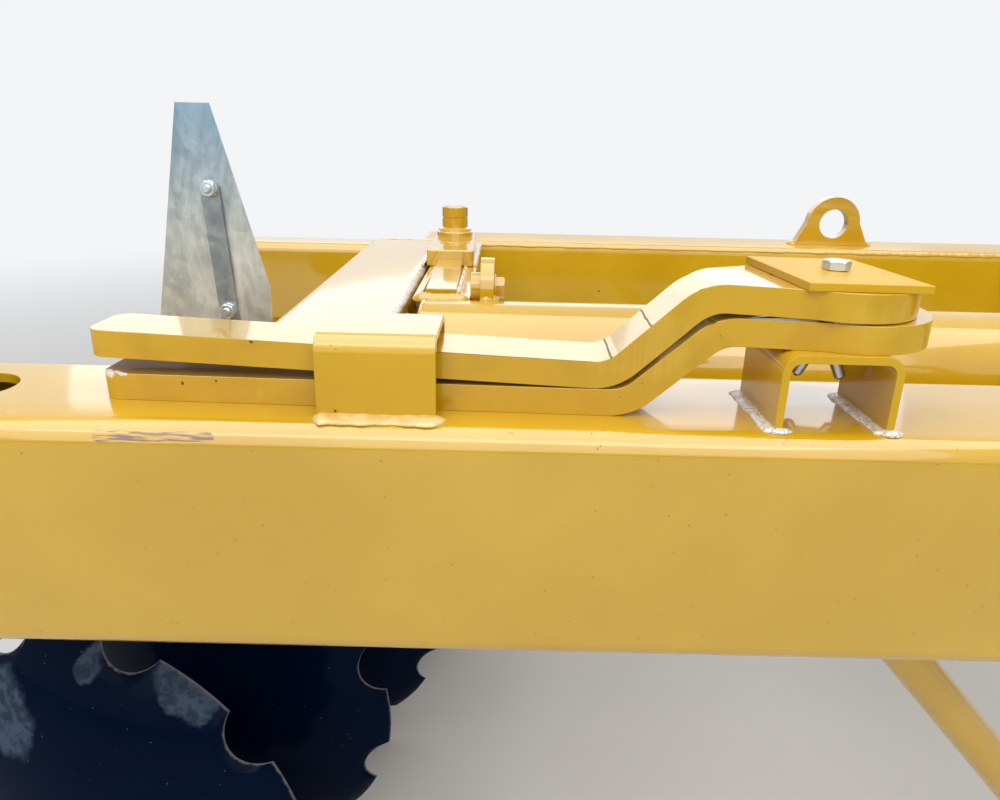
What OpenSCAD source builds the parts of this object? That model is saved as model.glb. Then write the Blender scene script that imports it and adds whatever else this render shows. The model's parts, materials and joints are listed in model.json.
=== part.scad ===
// Main-frame bay of a disc harrow: two long rails, cross beams and a centre tube,
// with the two gang-bolt wrenches stowed on the near rail and one disc gang below.
// X runs along the rails towards the bolted joint, Y from the near rail to the far
// one, Z up. The origin is the centre of the near rail's joint face.

/* [Rails] */
// Width of a rail
rail_w = 168; // [150:1:200]
// Height of a rail
rail_h = 211; // [180:1:230]
// Wall of a rail
rail_wall = 9.5; // [6:0.5:12]
// Outer corner radius of a rail
rail_r = 19; // [12:1:24]
// Length of a rail, from its closed end to the joint face
rail_l = 2040; // [2000:5:2300]
// Clear distance between the rails
rail_gap = 895; // [860:5:960]
// Thickness of a joint flange
flange_t = 16; // [12:1:22]
// Thickness of an end cap
cap_t = 8; // [6:1:12]
// Diameter of the hole in the top of the near rail
top_hole_d = 72; // [50:1:80]
// Distance of that hole from the closed end
top_hole_in = 177; // [120:1:220]

/* [Far rail nose] */
// Width of the slimmer tube that ends the far rail
nose_w = 102; // [90:1:140]
// Height of that tube
nose_h = 178; // [150:1:185]
// Length of that tube
nose_l = 470; // [400:5:520]

/* [Cross beams and centre tube] */
// Width of a cross beam
cross_w = 150; // [140:1:190]
// Distance of the left cross beam's middle from the joint face
cross_left_in = 1607; // [1580:1:1650]
// Distance of the right cross beam's middle from the joint face
cross_right_in = 150; // [130:1:200]
// Outer diameter of the centre tube
tube_d = 168; // [140:1:178]
// Wall of the centre tube
tube_wall = 10; // [6:0.5:12]
// Distance of the tube's axis behind the near rail's rear face
tube_back = 305; // [280:1:340]
// Gap between the left cross beam and the tube's closed end
tube_gap = 25; // [15:1:40]

/* [Wrenches] */
// Width of a handle
handle_w = 60; // [50:1:66]
// Thickness of the bar
bar_t = 23; // [20:0.5:26]
// Length from the middle of the head to the handle's tip
wrench_l = 614; // [580:1:660]
// Radius of the round head
head_r = 70; // [64:1:74]
// Set of the handle towards the front of the head
handle_off = 24; // [14:1:28]
// Step up from the handle to the head
crank_h = 63; // [56:1:68]
// Extra step of the upper wrench's crank
upper_step = 5.4; // [4:0.1:10]
// Width across the flats of the hexagonal opening
hex_af = 88; // [70:1:90]
// Distance of the retaining bolt from the joint face
bolt_in = 1122; // [1105:1:1140]
// Sideways place of the retaining bolt on the rail
bolt_y = 9; // [4:1:12]
// Slew of the wrenches on the rail, in degrees
slew = 1.7; // [1:0.1:2.2]
// Tilt of the upper wrench, in degrees
upper_tilt = 1.2; // [0.8:0.1:2.2]
// Rise of the upper handle away from its head's level, in degrees
handle_rise = 0.7; // [0:0.1:1.2]
// Extra length of the lower wrench's handle
lower_extra = 7; // [0:1:12]

/* [Wrench stand and keeper] */
// Width of the stand across its legs
stand_w = 95; // [90:1:100]
// Depth of the stand
stand_l = 93; // [88:1:98]
// Plate thickness of the stand and the keeper
bent_t = 6.5; // [5:0.5:8]
// Width of the keeper along the rail
keeper_w = 96; // [80:1:110]
// Distance of the keeper's middle from the joint face
keeper_in = 1499; // [1470:1:1530]
// Room on each side of a handle in the keeper
side_gap = 11.5; // [10:0.5:14]
// Width of the cover plate on top
plate_w = 100; // [90:1:110]
// Length of the cover plate across the rail
plate_l = 126; // [110:1:130]
// Thickness of that plate
plate_t = 6.5; // [5:0.5:10]
// Diameter of the retaining bolt
bolt_d = 13; // [12:1:18]

/* [Pivot and lug] */
// Width of the arm between the centre tube and the far rail
arm_w = 80; // [70:1:90]
// Depth of that arm
arm_h = 76; // [60:1:90]
// Width of the flat strap on the arm
strap_w = 43; // [36:1:48]
// Thickness of that strap
strap_t = 12; // [8:1:16]
// Length of the pivot block
block_l = 250; // [220:5:270]
// Height of the pivot block
block_h = 28; // [22:1:34]
// Diameter of the pivot pin
pivot_d = 48; // [36:1:50]
// Radius of the lug's round end
lug_r = 42; // [36:1:48]
// Thickness of the lug
lug_t = 19; // [12:1:22]
// Diameter of the lug bolt
lug_bolt_d = 20; // [18:1:24]

/* [Lifting eyes] */
// Width of an eye's base
eye_w = 162; // [150:1:200]
// Height of the eye's hole above the rail
eye_z = 46; // [44:1:64]
// Diameter of the eye's hole
eye_hole_d = 61; // [50:1:66]
// Thickness of an eye
eye_t = 22; // [16:1:28]
// Distance of the eyes from the joint face
eye_in = 683; // [640:1:720]

/* [Shield] */
// Height of the shield's top above the rails
shield_h = 243; // [200:1:260]
// Width of the shield at its foot
shield_foot_w = 137; // [110:1:150]
// Width of the shield at its top
shield_top_w = 38; // [30:1:46]
// Thickness of the shield
shield_t = 4; // [3:0.5:6]
// Distance of the shield behind the near rail
shield_back = 200; // [180:1:230]
// Width of the strap that carries the shield
carrier_w = 22; // [16:1:26]
// Height of that strap's top above the rails
carrier_h = 158; // [140:1:180]

/* [Brace] */
// Outer diameter of the brace tube
brace_d = 52; // [46:0.5:56]
// Length of the brace between its eyes
brace_l = 700; // [600:5:760]
// Slope of the brace below level, in degrees
brace_slope = 48; // [44:1:52]
// Diameter of the brace pin
brace_pin_d = 25; // [20:1:28]

/* [Disc gang] */
// Diameter of a disc
disc_d = 610; // [580:5:630]
// Thickness of a disc
disc_t = 6; // [5:0.5:8]
// Depth of the dish
dish = 86; // [70:1:100]
// Number of discs
disc_n = 5; // [5:1:5]
// Spacing of the discs
disc_pitch = 267; // [255:1:275]
// Number of notches round a disc
notch_n = 10; // [8:1:12]
// Radius of a notch
notch_r = 48; // [38:1:52]
// Angle of the gang to the cross beams, in degrees
gang_angle = 13.6; // [11:0.1:15]
// Height of the gang's axis below the rail tops
gang_drop = 685; // [660:5:720]
// Side of the square gang shaft
shaft_s = 32; // [28:1:36]
// Radius of a spool
spool_r = 38; // [34:1:42]
// Side of the gang beam
beam_s = 76; // [70:1:110]
// Wall of the gang beam
beam_wall = 6; // [5:0.5:10]

/* [Hidden] */
$fn = 64;
yellow = [0.80, 0.62, 0.20];
zinc = [0.72, 0.74, 0.77];
black = [0.06, 0.07, 0.09];
iron = [0.22, 0.22, 0.23];

// Levels and lines that several pieces share
top_z = rail_h / 2;
rear_y = rail_w / 2;
far_front_y = rear_y + rail_gap;
far_y = far_front_y + rail_w / 2;
far_rail_l = rail_l - nose_l;
seat = 0.3;
run_fit = 0.05;
hole_fit = 0.5;

// Cross-section of a tube with round corners, centred
module round_rect(w, h, r) {
    for (s = [-1, 1]) {
        translate([s * (w / 2 - r), h / 2 - r]) circle(r);
        translate([s * (w / 2 - r), -h / 2 + r]) circle(r);
    }
    square([w - 2 * r, h], center = true);
    square([w, h - 2 * r], center = true);
}

// Tube along X from x0 to x1, centred on the axis
module x_tube(x0, x1, w, h, wall, r) {
    translate([x0, 0, 0]) rotate([90, 0, 90]) linear_extrude(x1 - x0)
        difference() {
            round_rect(w, h, r);
            round_rect(w - 2 * wall, h - 2 * wall, r - wall + 2);
        }
}

// Plate along X, as thick as t, with the tube's outline
module x_plate(x0, t, w, h, r) {
    translate([x0, 0, 0]) rotate([90, 0, 90]) linear_extrude(t) round_rect(w, h, r);
}

module near_rail() {
    color(yellow) difference() {
        x_tube(-rail_l + cap_t, -flange_t, rail_w, rail_h, rail_wall, rail_r);
        translate([-rail_l + top_hole_in, 0, top_z - 2 * rail_wall])
            cylinder(h = 3 * rail_wall, d = top_hole_d);
    }
}

module near_cap() {
    color(yellow) x_plate(-rail_l, cap_t, rail_w, rail_h, rail_r);
}

module far_rail() {
    color(yellow) translate([0, far_y, 0])
        x_tube(-far_rail_l + cap_t, -flange_t, rail_w, rail_h, rail_wall, rail_r);
}

module far_rail_cap() {
    color(yellow) translate([0, far_y, 0])
        x_plate(-far_rail_l, cap_t, rail_w, rail_h, rail_r);
}

// The slim nose stands flush with the far rail's front face, a little below its top
nose_drop = 12;
nose_y = far_front_y + nose_w / 2;
nose_z = top_z - nose_drop - nose_h / 2;
module far_nose() {
    color(yellow) translate([0, nose_y, nose_z])
        x_tube(-rail_l + cap_t, -far_rail_l, nose_w, nose_h, rail_wall, rail_r);
}

module nose_cap() {
    color(yellow) translate([0, nose_y, nose_z])
        x_plate(-rail_l, cap_t, nose_w, nose_h, rail_r);
}

// Joint flange with four corner holes outside the rail's section
flange_w = rail_w + 72;
flange_h = rail_h + 77;
flange_hole_y = flange_w - 40;
flange_hole_z = flange_h - 44;
flange_hole_d = 22;
module flange() {
    difference() {
        x_plate(-flange_t, flange_t, flange_w, flange_h, 18);
        for (y = [-1, 1]) for (z = [-1, 1])
            translate([-flange_t - 1, y * flange_hole_y / 2, z * flange_hole_z / 2])
                rotate([0, 90, 0]) cylinder(h = flange_t + 2, d = flange_hole_d);
    }
}

module near_flange() {
    color(yellow) flange();
}

module far_flange() {
    color(yellow) translate([0, far_y, 0]) flange();
}

// Cross beam between the rails' inner faces
module cross_beam(x) {
    translate([x, rear_y, 0]) rotate([90, 0, 180]) linear_extrude(rail_gap)
        difference() {
            round_rect(cross_w, rail_h, rail_r);
            round_rect(cross_w - 2 * rail_wall, rail_h - 2 * rail_wall, rail_r - rail_wall + 2);
        }
}

module cross_beam_left() {
    color(yellow) cross_beam(-cross_left_in);
}

module cross_beam_right() {
    color(yellow) cross_beam(-cross_right_in);
}

tube_y = rear_y + tube_back;
tube_z = top_z - tube_d / 2;
beam_face_x = -cross_left_in + cross_w / 2;
tube_x0 = beam_face_x + tube_gap;
tube_x1 = -cross_right_in - cross_w / 2;
module centre_tube() {
    color(yellow) translate([tube_x0, tube_y, tube_z]) rotate([0, 90, 0]) difference() {
        cylinder(h = tube_x1 - tube_x0, d = tube_d);
        translate([0, 0, tube_wall])
            cylinder(h = tube_x1 - tube_x0, d = tube_d - 2 * tube_wall);
    }
}

// Short stub that carries the tube's closed end on the cross beam
module tube_stub() {
    color(yellow) translate([beam_face_x, tube_y, tube_z]) rotate([0, 90, 0])
        cylinder(h = tube_gap, d = 0.66 * tube_d);
}

// Arm from the tube to the far rail, with a strap, the pivot block and its pin on top
arm_x = tube_x0 + 22;
arm_front = 20;
module pivot_arm() {
    color(yellow) difference() {
        translate([arm_x - arm_w / 2, tube_y + arm_front, top_z - arm_h])
            cube([arm_w, far_front_y - tube_y - arm_front, arm_h]);
        translate([arm_x - arm_w, tube_y, tube_z]) rotate([0, 90, 0])
            cylinder(h = 2 * arm_w, d = tube_d);
    }
}

// The strap, the block and the pin stand a little askew on the arm
arm_skew = 1.15;
module on_arm() {
    translate([arm_x, tube_y, top_z]) rotate(arm_skew) translate([0, -tube_y, 0]) children();
}

strap_y0 = tube_y + arm_front + 5;
block_y1 = far_front_y - 65;
block_y0 = block_y1 - block_l;
module pivot_strap() {
    color(yellow) on_arm() translate([-strap_w / 2, strap_y0, 0])
        cube([strap_w, block_y0 - strap_y0, strap_t]);
}

pin_y = block_y1 - 62;
module pivot_block() {
    color(yellow) on_arm() difference() {
        translate([0, (block_y0 + block_y1) / 2, 0])
            linear_extrude(block_h) round_rect(arm_w, block_l, 4);
        translate([0, pin_y, -1])
            cylinder(h = block_h + 2, d = pivot_d + 2 * run_fit);
    }
}

collar_t = 16;
pin_free = 40;
module pivot_pin() {
    color(yellow) on_arm() translate([0, pin_y, 0]) {
        cylinder(h = block_h + collar_t + pin_free, d = pivot_d);
        translate([0, 0, block_h]) cylinder(h = collar_t, d = pivot_d + 20);
    }
}

// Round-ended lug on the back of the tube, with a boss and a bolt into the arm's side
arm_side_x = arm_x + arm_w / 2;
boss_l = 14;
lug_x = arm_side_x + boss_l;
lug_y = tube_y + 50;
lug_z = top_z + 10;
module tube_lug() {
    color(yellow) translate([lug_x, 0, 0]) difference() {
        union() {
            translate([0, lug_y, lug_z]) rotate([0, 90, 0]) cylinder(h = lug_t, r = lug_r);
            translate([0, lug_y - lug_r, tube_z]) cube([lug_t, 2 * lug_r, lug_z - tube_z]);
        }
        translate([-1, tube_y, tube_z]) rotate([0, 90, 0]) cylinder(h = lug_t + 2, d = tube_d);
        translate([-1, lug_y, lug_z]) rotate([0, 90, 0])
            cylinder(h = lug_t + 2, d = lug_bolt_d + hole_fit);
        translate([-1, lug_y + lug_r - 16, tube_z - 1]) cube([lug_t + 2, 30, 40]);
    }
}

module lug_boss() {
    color(yellow) translate([arm_side_x, lug_y, lug_z]) rotate([0, 90, 0]) difference() {
        cylinder(h = boss_l, r = lug_r / 2);
        translate([0, 0, -1]) cylinder(h = boss_l + 2, d = lug_bolt_d + hole_fit);
    }
}

lug_head_h = 15;
module lug_bolt() {
    color(yellow) translate([arm_side_x, lug_y, lug_z]) rotate([0, 90, 0]) {
        cylinder(h = boss_l + lug_t, d = lug_bolt_d);
        translate([0, 0, boss_l + lug_t]) cylinder(h = lug_head_h, d = lug_bolt_d * 1.6, $fn = 6);
    }
}

// Profile of a bent strap: an inverted U with round outer bends
module bent_u(w, h, t, r) {
    difference() {
        union() {
            translate([-w / 2, 0]) square([w, h - r]);
            translate([-w / 2 + r, 0]) square([w - 2 * r, h]);
            for (s = [-1, 1]) translate([s * (w / 2 - r), h - r]) circle(r);
        }
        translate([-w / 2 + t, -1]) square([w - 2 * t, h - r + 1]);
        translate([-w / 2 + r, -1]) square([w - 2 * r, h - t + 1]);
        for (s = [-1, 1]) translate([s * (w / 2 - r), h - r]) circle(r - t);
    }
}

bend_r = 15;
keeper_l = handle_w + 2 * (side_gap + bent_t);
keeper_h = 2 * bar_t + 15 + bent_t;
keeper_y = bolt_y - 20;
module wrench_keeper() {
    color(yellow) translate([-keeper_in - keeper_w / 2, keeper_y, top_z]) rotate([90, 0, 90])
        linear_extrude(keeper_w) bent_u(keeper_l, keeper_h, bent_t, bend_r);
}

// The bolt stands behind and to the right of the stand's middle
bolt_x = -bolt_in;
stand_x = bolt_x - 12.5;
stand_y = bolt_y - 28.5;
module wrench_stand() {
    color(yellow) difference() {
        translate([stand_x, stand_y + stand_l / 2, top_z]) rotate([90, 0, 0])
            linear_extrude(stand_l) bent_u(stand_w, crank_h, bent_t, bend_r);
        translate([bolt_x, bolt_y, top_z]) cylinder(h = crank_h + 1, d = bolt_d + 2 * hole_fit);
    }
}

// Side profile of a wrench: handle level, crank with two bends, head level. The head's
// middle is at x = 0 and its underside at z = 0; the handle runs to negative x.
crank_x = 112;
crank_run = 69;
crank_r = 40;
module wrench_side(step, rise, l) {
    crank_a = atan(step / crank_run);
    half = bar_t / 2;
    setback = crank_r * tan(crank_a / 2);
    x_low = -crank_x - crank_run;
    z_low = half - step;
    bend_hi = -crank_x + setback;
    bend_lo = x_low - setback;
    slope_l = norm([crank_run, step]) - 2 * setback;
    translate([bend_hi, 0]) square([head_r + 1 - bend_hi, bar_t]);
    translate([bend_hi, half - crank_r]) bend(crank_r, 90, 90 + crank_a);
    translate([bend_lo, z_low + crank_r]) {
        bend(crank_r, 270 - rise, 270 + crank_a);
        rotate(-rise) translate([-l - 1 - bend_lo, -crank_r - half])
            square([l + 1 + bend_lo, bar_t]);
    }
    translate([-crank_x - setback * cos(crank_a), half - setback * sin(crank_a)])
        rotate(180 + crank_a) translate([0, -half]) square([slope_l, bar_t]);
}

// Arc band of the bar's thickness about radius r, from angle a0 to a1
module bend(r, a0, a1) {
    reach = 2 * (r + bar_t);
    intersection() {
        difference() {
            circle(r + bar_t / 2);
            circle(r - bar_t / 2);
        }
        polygon([[0, 0], [reach * cos(a0), reach * sin(a0)], [reach * cos(a1), reach * sin(a1)]]);
    }
}

// Plan of a wrench: a round head, a handle set towards its front and a round-cornered tip
flare_x = 118;
tip_r = 14;
module wrench_plan(l) {
    low = -handle_off - handle_w / 2;
    high = -handle_off + handle_w / 2;
    circle(head_r, $fn = 96);
    polygon([[-flare_x, low], [-flare_x, high], [-0.72 * head_r, 0.69 * head_r], [0, 0],
        [-0.42 * head_r, -0.905 * head_r]]);
    translate([-l + tip_r, low]) square([l - tip_r, handle_w]);
    translate([-l, low + tip_r]) square([tip_r, handle_w - 2 * tip_r]);
    translate([-l + tip_r, low + tip_r]) circle(tip_r);
    translate([-l + tip_r, high - tip_r]) circle(tip_r);
}

module wrench(step, rise, l) {
    difference() {
        intersection() {
            translate([0, head_r + 1, 0]) rotate([90, 0, 0])
                linear_extrude(2 * head_r + 2) wrench_side(step, rise, l);
            translate([0, 0, -step - 1]) linear_extrude(step + bar_t + 2) wrench_plan(l);
        }
        translate([0, 0, -1]) cylinder(h = bar_t + 2, d = hex_af / cos(30), $fn = 6);
    }
}

// The lower wrench sits a little right of the bolt, the upper one a little left
lower_shift = 9;
upper_shift = -4;
module wrench_lower() {
    color(yellow) translate([bolt_x, bolt_y, top_z + crank_h]) rotate([0, 0, -slew])
        translate([lower_shift, 0, 0]) wrench(crank_h, 0, wrench_l + lower_extra);
}

// The upper wrench rests on the lower head's right edge and rises a little to the left
upper_z = top_z + crank_h + bar_t;
module on_upper() {
    translate([bolt_x, bolt_y, upper_z]) rotate([0, 0, -slew])
        translate([upper_shift + head_r, 0, 0.1]) rotate([0, upper_tilt, 0])
            translate([-head_r - upper_shift, 0, 0]) children();
}

module wrench_upper() {
    color(yellow) on_upper() translate([upper_shift, 0, 0])
        wrench(crank_h + upper_step, handle_rise, wrench_l);
}

plate_turn = 6.5;
module cover_plate() {
    color(yellow) on_upper() translate([0, 0, bar_t]) rotate(plate_turn) difference() {
        translate([-plate_w / 2 - 3, -plate_l / 2, 0]) cube([plate_w, plate_l, plate_t]);
        translate([0, 0, -1]) cylinder(h = plate_t + 2, d = bolt_d + 4 * hole_fit);
    }
}

// Height that the tilt adds at the bolt, and under its head's rim
tilt_rise = head_r * sin(upper_tilt) + 16 * sin(upper_tilt) + 0.15;
plate_top_z = upper_z + bar_t + plate_t + tilt_rise;
bolt_head_h = 8;
bolt_af = 20;
wing_hub_h = 14;
bolt_low_z = top_z + crank_h - bent_t - wing_hub_h - 6;
module retaining_bolt() {
    color(zinc) translate([bolt_x, bolt_y, 0]) {
        translate([0, 0, bolt_low_z]) cylinder(h = plate_top_z - bolt_low_z + 1, d = bolt_d);
        translate([0, 0, plate_top_z]) cylinder(h = bolt_head_h, d = bolt_af / cos(30), $fn = 6);
    }
}

// Wing nut under the stand's top, its two wings pointing down and out
wing_turn = -14;
wing_hub_d = 24;
module wing_nut() {
    color(zinc) translate([bolt_x, bolt_y, top_z + crank_h - bent_t]) difference() {
        union() {
            translate([0, 0, -wing_hub_h]) cylinder(h = wing_hub_h, d = wing_hub_d);
            for (s = [-1, 1]) rotate([0, 0, wing_turn])
                translate([s * 9, 3, -wing_hub_h + 3]) rotate([90, 0, 0]) linear_extrude(6)
                    polygon([[0, 8], [0, -6], [s * 8, -24], [s * 15, -22], [s * 12, -6]]);
        }
        translate([0, 0, -wing_hub_h - 30]) cylinder(h = wing_hub_h + 31, d = bolt_d + 0.1);
    }
}

// Lifting eye: a round top on straight flanks that run down to a wide base
eye_ring = 26;
module lifting_eye() {
    eye_r = eye_hole_d / 2 + eye_ring;
    half = eye_w / 2;
    shoulder_x = 0.9 * eye_r;
    shoulder_z = eye_z + 0.25 * eye_r;
    rotate([90, 0, 0]) translate([0, 0, -eye_t / 2]) linear_extrude(eye_t) difference() {
        union() {
            translate([0, eye_z]) circle(eye_r);
            polygon([[-half, 0], [half, 0], [shoulder_x, shoulder_z], [-shoulder_x, shoulder_z]]);
        }
        translate([0, eye_z]) circle(d = eye_hole_d);
        translate([-half - 1, -2 * eye_r]) square([eye_w + 2, 2 * eye_r]);
    }
}

module lifting_eye_near() {
    color(yellow) translate([-eye_in, 0, top_z]) lifting_eye();
}

module lifting_eye_far() {
    color(yellow) translate([-eye_in, far_y, top_z]) lifting_eye();
}

// Galvanised shield bolted behind a strap, on a tab that the left cross beam carries
beam_left_x = -cross_left_in - cross_w / 2;
shield_y = rear_y + shield_back;
tab_drop = 42;
tab_t = 10;
tab_l = 46;
tab_reach = 74;
module shield_tab() {
    color(yellow) translate([beam_left_x - tab_reach, shield_y - tab_l, top_z - tab_drop - tab_t])
        cube([tab_reach, tab_l, tab_t]);
}

// Its frame stands on the tab, below the middle of the strap's foot
strap_in = 50;
module shield_frame() {
    translate([beam_left_x - strap_in, shield_y, top_z - tab_drop]) children();
}

// The shield's right edge is upright at the foot; above its knee both edges lean in
shield_low = 6;
shield_knee = 37;
edge_gap = 2;
module shield_plate() {
    right = strap_in - edge_gap;
    left = right - shield_foot_w;
    top_right = right - 0.38 * shield_foot_w;
    knee = tab_drop + shield_knee;
    top = tab_drop + shield_h;
    color(zinc) shield_frame() translate([0, shield_t, 0]) rotate([90, 0, 0])
        linear_extrude(shield_t) polygon([[left - 8, shield_low], [right, shield_low],
            [right, knee], [top_right, top], [top_right - shield_top_w, top],
            [left, tab_drop]]);
}

// Flat strap that leans a little, with clipped top corners and a foot bent forward
carrier_t = 5;
carrier_lean = 3.2;
carrier_l = carrier_h + tab_drop;
module shield_strap() {
    half = carrier_w / 2;
    clip = half / 2;
    shift = carrier_l * tan(carrier_lean);
    color(zinc) shield_frame() {
        rotate([90, 0, 0]) linear_extrude(carrier_t)
            polygon([[-half, 0], [half, 0], [half - shift, carrier_l - clip],
                [clip - shift, carrier_l], [-clip - shift, carrier_l],
                [-half - shift, carrier_l - clip]]);
        translate([-half, -tab_l, 0]) cube([carrier_w, tab_l - carrier_t, carrier_t]);
    }
}

shield_bolt_af = 17;
shield_bolt_h = 8;
bolt_gap = 144;
low_bolt = tab_drop + 6;
module shield_bolts() {
    color(zinc) shield_frame() for (d = [low_bolt, low_bolt + bolt_gap])
        translate([-d * sin(carrier_lean), -carrier_t, d * cos(carrier_lean)])
            rotate([90, 0, 0])
                cylinder(h = shield_bolt_h, d = shield_bolt_af / cos(30), $fn = 6);
}

// Brace from lugs on the near rail's rear face, down and to the right
brace_x = -1079;
brace_y = rear_y + 52;
brace_z = -64;
eye_w_brace = 38;
brace_eye_r = 28;
ear_r = 31;
ear_t = 10;
ear_gap = eye_w_brace + 1;
ear_top = 34;
module brace_lugs() {
    color(yellow) {
        for (s = [-1, 1])
            translate([brace_x, brace_y + s * (ear_gap + ear_t) / 2, brace_z]) rotate([90, 0, 0])
                translate([0, 0, -ear_t / 2]) linear_extrude(ear_t) difference() {
                    union() {
                        circle(ear_r);
                        translate([-ear_r, 0]) square([2 * ear_r, ear_top]);
                    }
                    circle(d = brace_pin_d + hole_fit);
                }
        translate([brace_x - 40, rear_y, brace_z + ear_top]) cube([80, 84, 12]);
    }
}

module brace_frame() {
    translate([brace_x, brace_y, brace_z]) rotate([0, brace_slope, 0]) children();
}

// Round tube with a flat-sided eye on a neck at each end
neck_l = 42;
module brace_tube() {
    color(yellow) brace_frame() difference() {
        union() {
            translate([neck_l, 0, 0]) rotate([0, 90, 0])
                cylinder(h = brace_l - 2 * neck_l, d = brace_d);
            for (x = [0, brace_l]) translate([x, eye_w_brace / 2, 0]) rotate([90, 0, 0])
                cylinder(h = eye_w_brace, r = brace_eye_r);
            for (x = [0, brace_l - neck_l - 1])
                translate([x, -eye_w_brace / 2, -18]) cube([neck_l + 1, eye_w_brace, 36]);
        }
        for (x = [0, brace_l]) translate([x, 30, 0]) rotate([90, 0, 0])
            cylinder(h = 60, d = brace_pin_d + hole_fit);
    }
}

module brace_pin() {
    color(zinc) brace_frame()
        translate([0, 36, 0]) rotate([90, 0, 0]) cylinder(h = 72, d = brace_pin_d);
}

// Disc gang. Its axis runs through the first disc's rim plane and leans towards +X.
// The discs turn their round backs to the near side.
gang_x = -1926;
gang_y = 161;
gang_z = top_z - gang_drop;
module gang_frame() {
    translate([gang_x, gang_y, gang_z]) rotate([0, 0, -gang_angle]) children();
}

// Turns a shape made along +Z so that it runs along the gang's axis from s
module on_axis(s) {
    translate([0, s, 0]) rotate([-90, 0, 0]) children();
}

disc_r = disc_d / 2;
hub_r = 55;
ball_r = (disc_r * disc_r + dish * dish) / (2 * dish);
hub_sink = ball_r - sqrt(ball_r * ball_r - hub_r * hub_r);
hub_t = disc_t + hub_sink;
notch_out = 20;
disc_turns = [32.5, 17, 20, 16, 30];
// Dished disc: its rim at z = 0 and the middle of its round back at z = -dish
module disc(turn) {
    mirror([0, 0, 1]) difference() {
        union() {
            intersection() {
                translate([0, 0, dish - ball_r]) difference() {
                    sphere(ball_r, $fn = 128);
                    sphere(ball_r - disc_t, $fn = 128);
                }
                translate([0, 0, -disc_t]) cylinder(h = dish + 2 * disc_t, r = disc_r);
            }
            translate([0, 0, dish - hub_t]) cylinder(h = hub_t, r = hub_r);
        }
        for (k = [0 : notch_n - 1]) rotate([0, 0, turn + k * 360 / notch_n])
            translate([disc_r + notch_out, 0, -2 * disc_t]) cylinder(h = dish, r = notch_r);
        translate([-shaft_s / 2 - seat, -shaft_s / 2 - seat, 0])
            cube([shaft_s + 2 * seat, shaft_s + 2 * seat, 2 * dish]);
    }
}

module disc_at(k) {
    color(black) gang_frame() on_axis(k * disc_pitch) disc(disc_turns[k]);
}

module disc_1() { disc_at(0); }
module disc_2() { disc_at(1); }
module disc_3() { disc_at(2); }
module disc_4() { disc_at(3); }
module disc_5() { disc_at(4); }

// Spools hold the discs apart; the shaft runs through all of them
face_gap = 0.1;
spool_l = disc_pitch - hub_t - 2 * face_gap;
module spools() {
    color(iron) gang_frame() for (k = [0 : disc_n - 2])
        on_axis(k * disc_pitch - dish + hub_t + face_gap)
        difference() {
            union() {
                cylinder(h = spool_l, r = spool_r);
                cylinder(h = 16, r = hub_r);
                translate([0, 0, spool_l - 16]) cylinder(h = 16, r = hub_r);
            }
            translate([0, 0, -1]) cylinder(h = spool_l + 2, r = shaft_s * 0.72);
        }
}

shaft_over = 74;
module gang_shaft() {
    color(iron) gang_frame() translate([-shaft_s / 2, -dish - shaft_over, -shaft_s / 2])
        cube([shaft_s, (disc_n - 1) * disc_pitch + 2 * shaft_over, shaft_s]);
}

washer_t = 20;
module gang_washers() {
    first = -dish - washer_t - face_gap;
    last = (disc_n - 1) * disc_pitch - dish + hub_t + face_gap;
    color(iron) gang_frame() for (s = [first, last])
        on_axis(s) difference() {
            cylinder(h = washer_t, r = hub_r);
            translate([0, 0, -1]) cylinder(h = washer_t + 2, r = shaft_s * 0.72);
        }
}

nut_t = 30;
nut_af = 66;
module gang_nuts() {
    first = -dish - washer_t - nut_t - 2 * face_gap;
    last = (disc_n - 1) * disc_pitch - dish + hub_t + washer_t + 2 * face_gap;
    color(iron) gang_frame() for (s = [first, last])
        on_axis(s) difference() {
            cylinder(h = nut_t, d = nut_af / cos(30), $fn = 6);
            translate([-shaft_s / 2 - seat, -shaft_s / 2 - seat, -1])
                cube([shaft_s + 2 * seat, shaft_s + 2 * seat, nut_t + 2]);
        }
}

// Hangers and bearings stand between discs 2 and 3, and 4 and 5
hanger_s = 90;
bearing_l = 64;
bearing_r = 68;
pad_t = 12;
beam_top_z = -rail_h / 2 - pad_t;
module bearing(k) {
    gang_frame() on_axis(k * disc_pitch + hanger_s - bearing_l / 2) difference() {
        cylinder(h = bearing_l, r = bearing_r);
        translate([0, 0, -1]) cylinder(h = bearing_l + 2, r = spool_r + run_fit);
    }
}

module bearing_near() {
    color(yellow) bearing(1);
}

module bearing_far() {
    color(yellow) bearing(disc_n - 2);
}

hanger_t = 40;
hanger_top_w = 140;
hanger_low_w = 88;
module hanger(k) {
    drop = beam_top_z - beam_s - gang_z;
    foot = 0.1 * drop;
    gang_frame() translate([0, k * disc_pitch + hanger_s + hanger_t / 2, 0]) rotate([90, 0, 0])
        linear_extrude(hanger_t) difference() {
            polygon([[-hanger_top_w / 2, drop], [hanger_top_w / 2, drop],
                [hanger_top_w / 2, drop - foot], [hanger_low_w / 2, drop - 3 * foot],
                [hanger_low_w / 2, 0.3 * bearing_r], [-hanger_low_w / 2, 0.3 * bearing_r],
                [-hanger_low_w / 2, drop - 3 * foot], [-hanger_top_w / 2, drop - foot]]);
            circle(bearing_r);
        }
}

module hanger_near() {
    color(yellow) hanger(1);
}

module hanger_far() {
    color(yellow) hanger(disc_n - 2);
}

beam_y0 = -134;
beam_l = 1130;
module beam_frame() {
    translate([gang_x, gang_y, beam_top_z - beam_s / 2]) rotate([0, 0, -gang_angle]) children();
}

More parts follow.
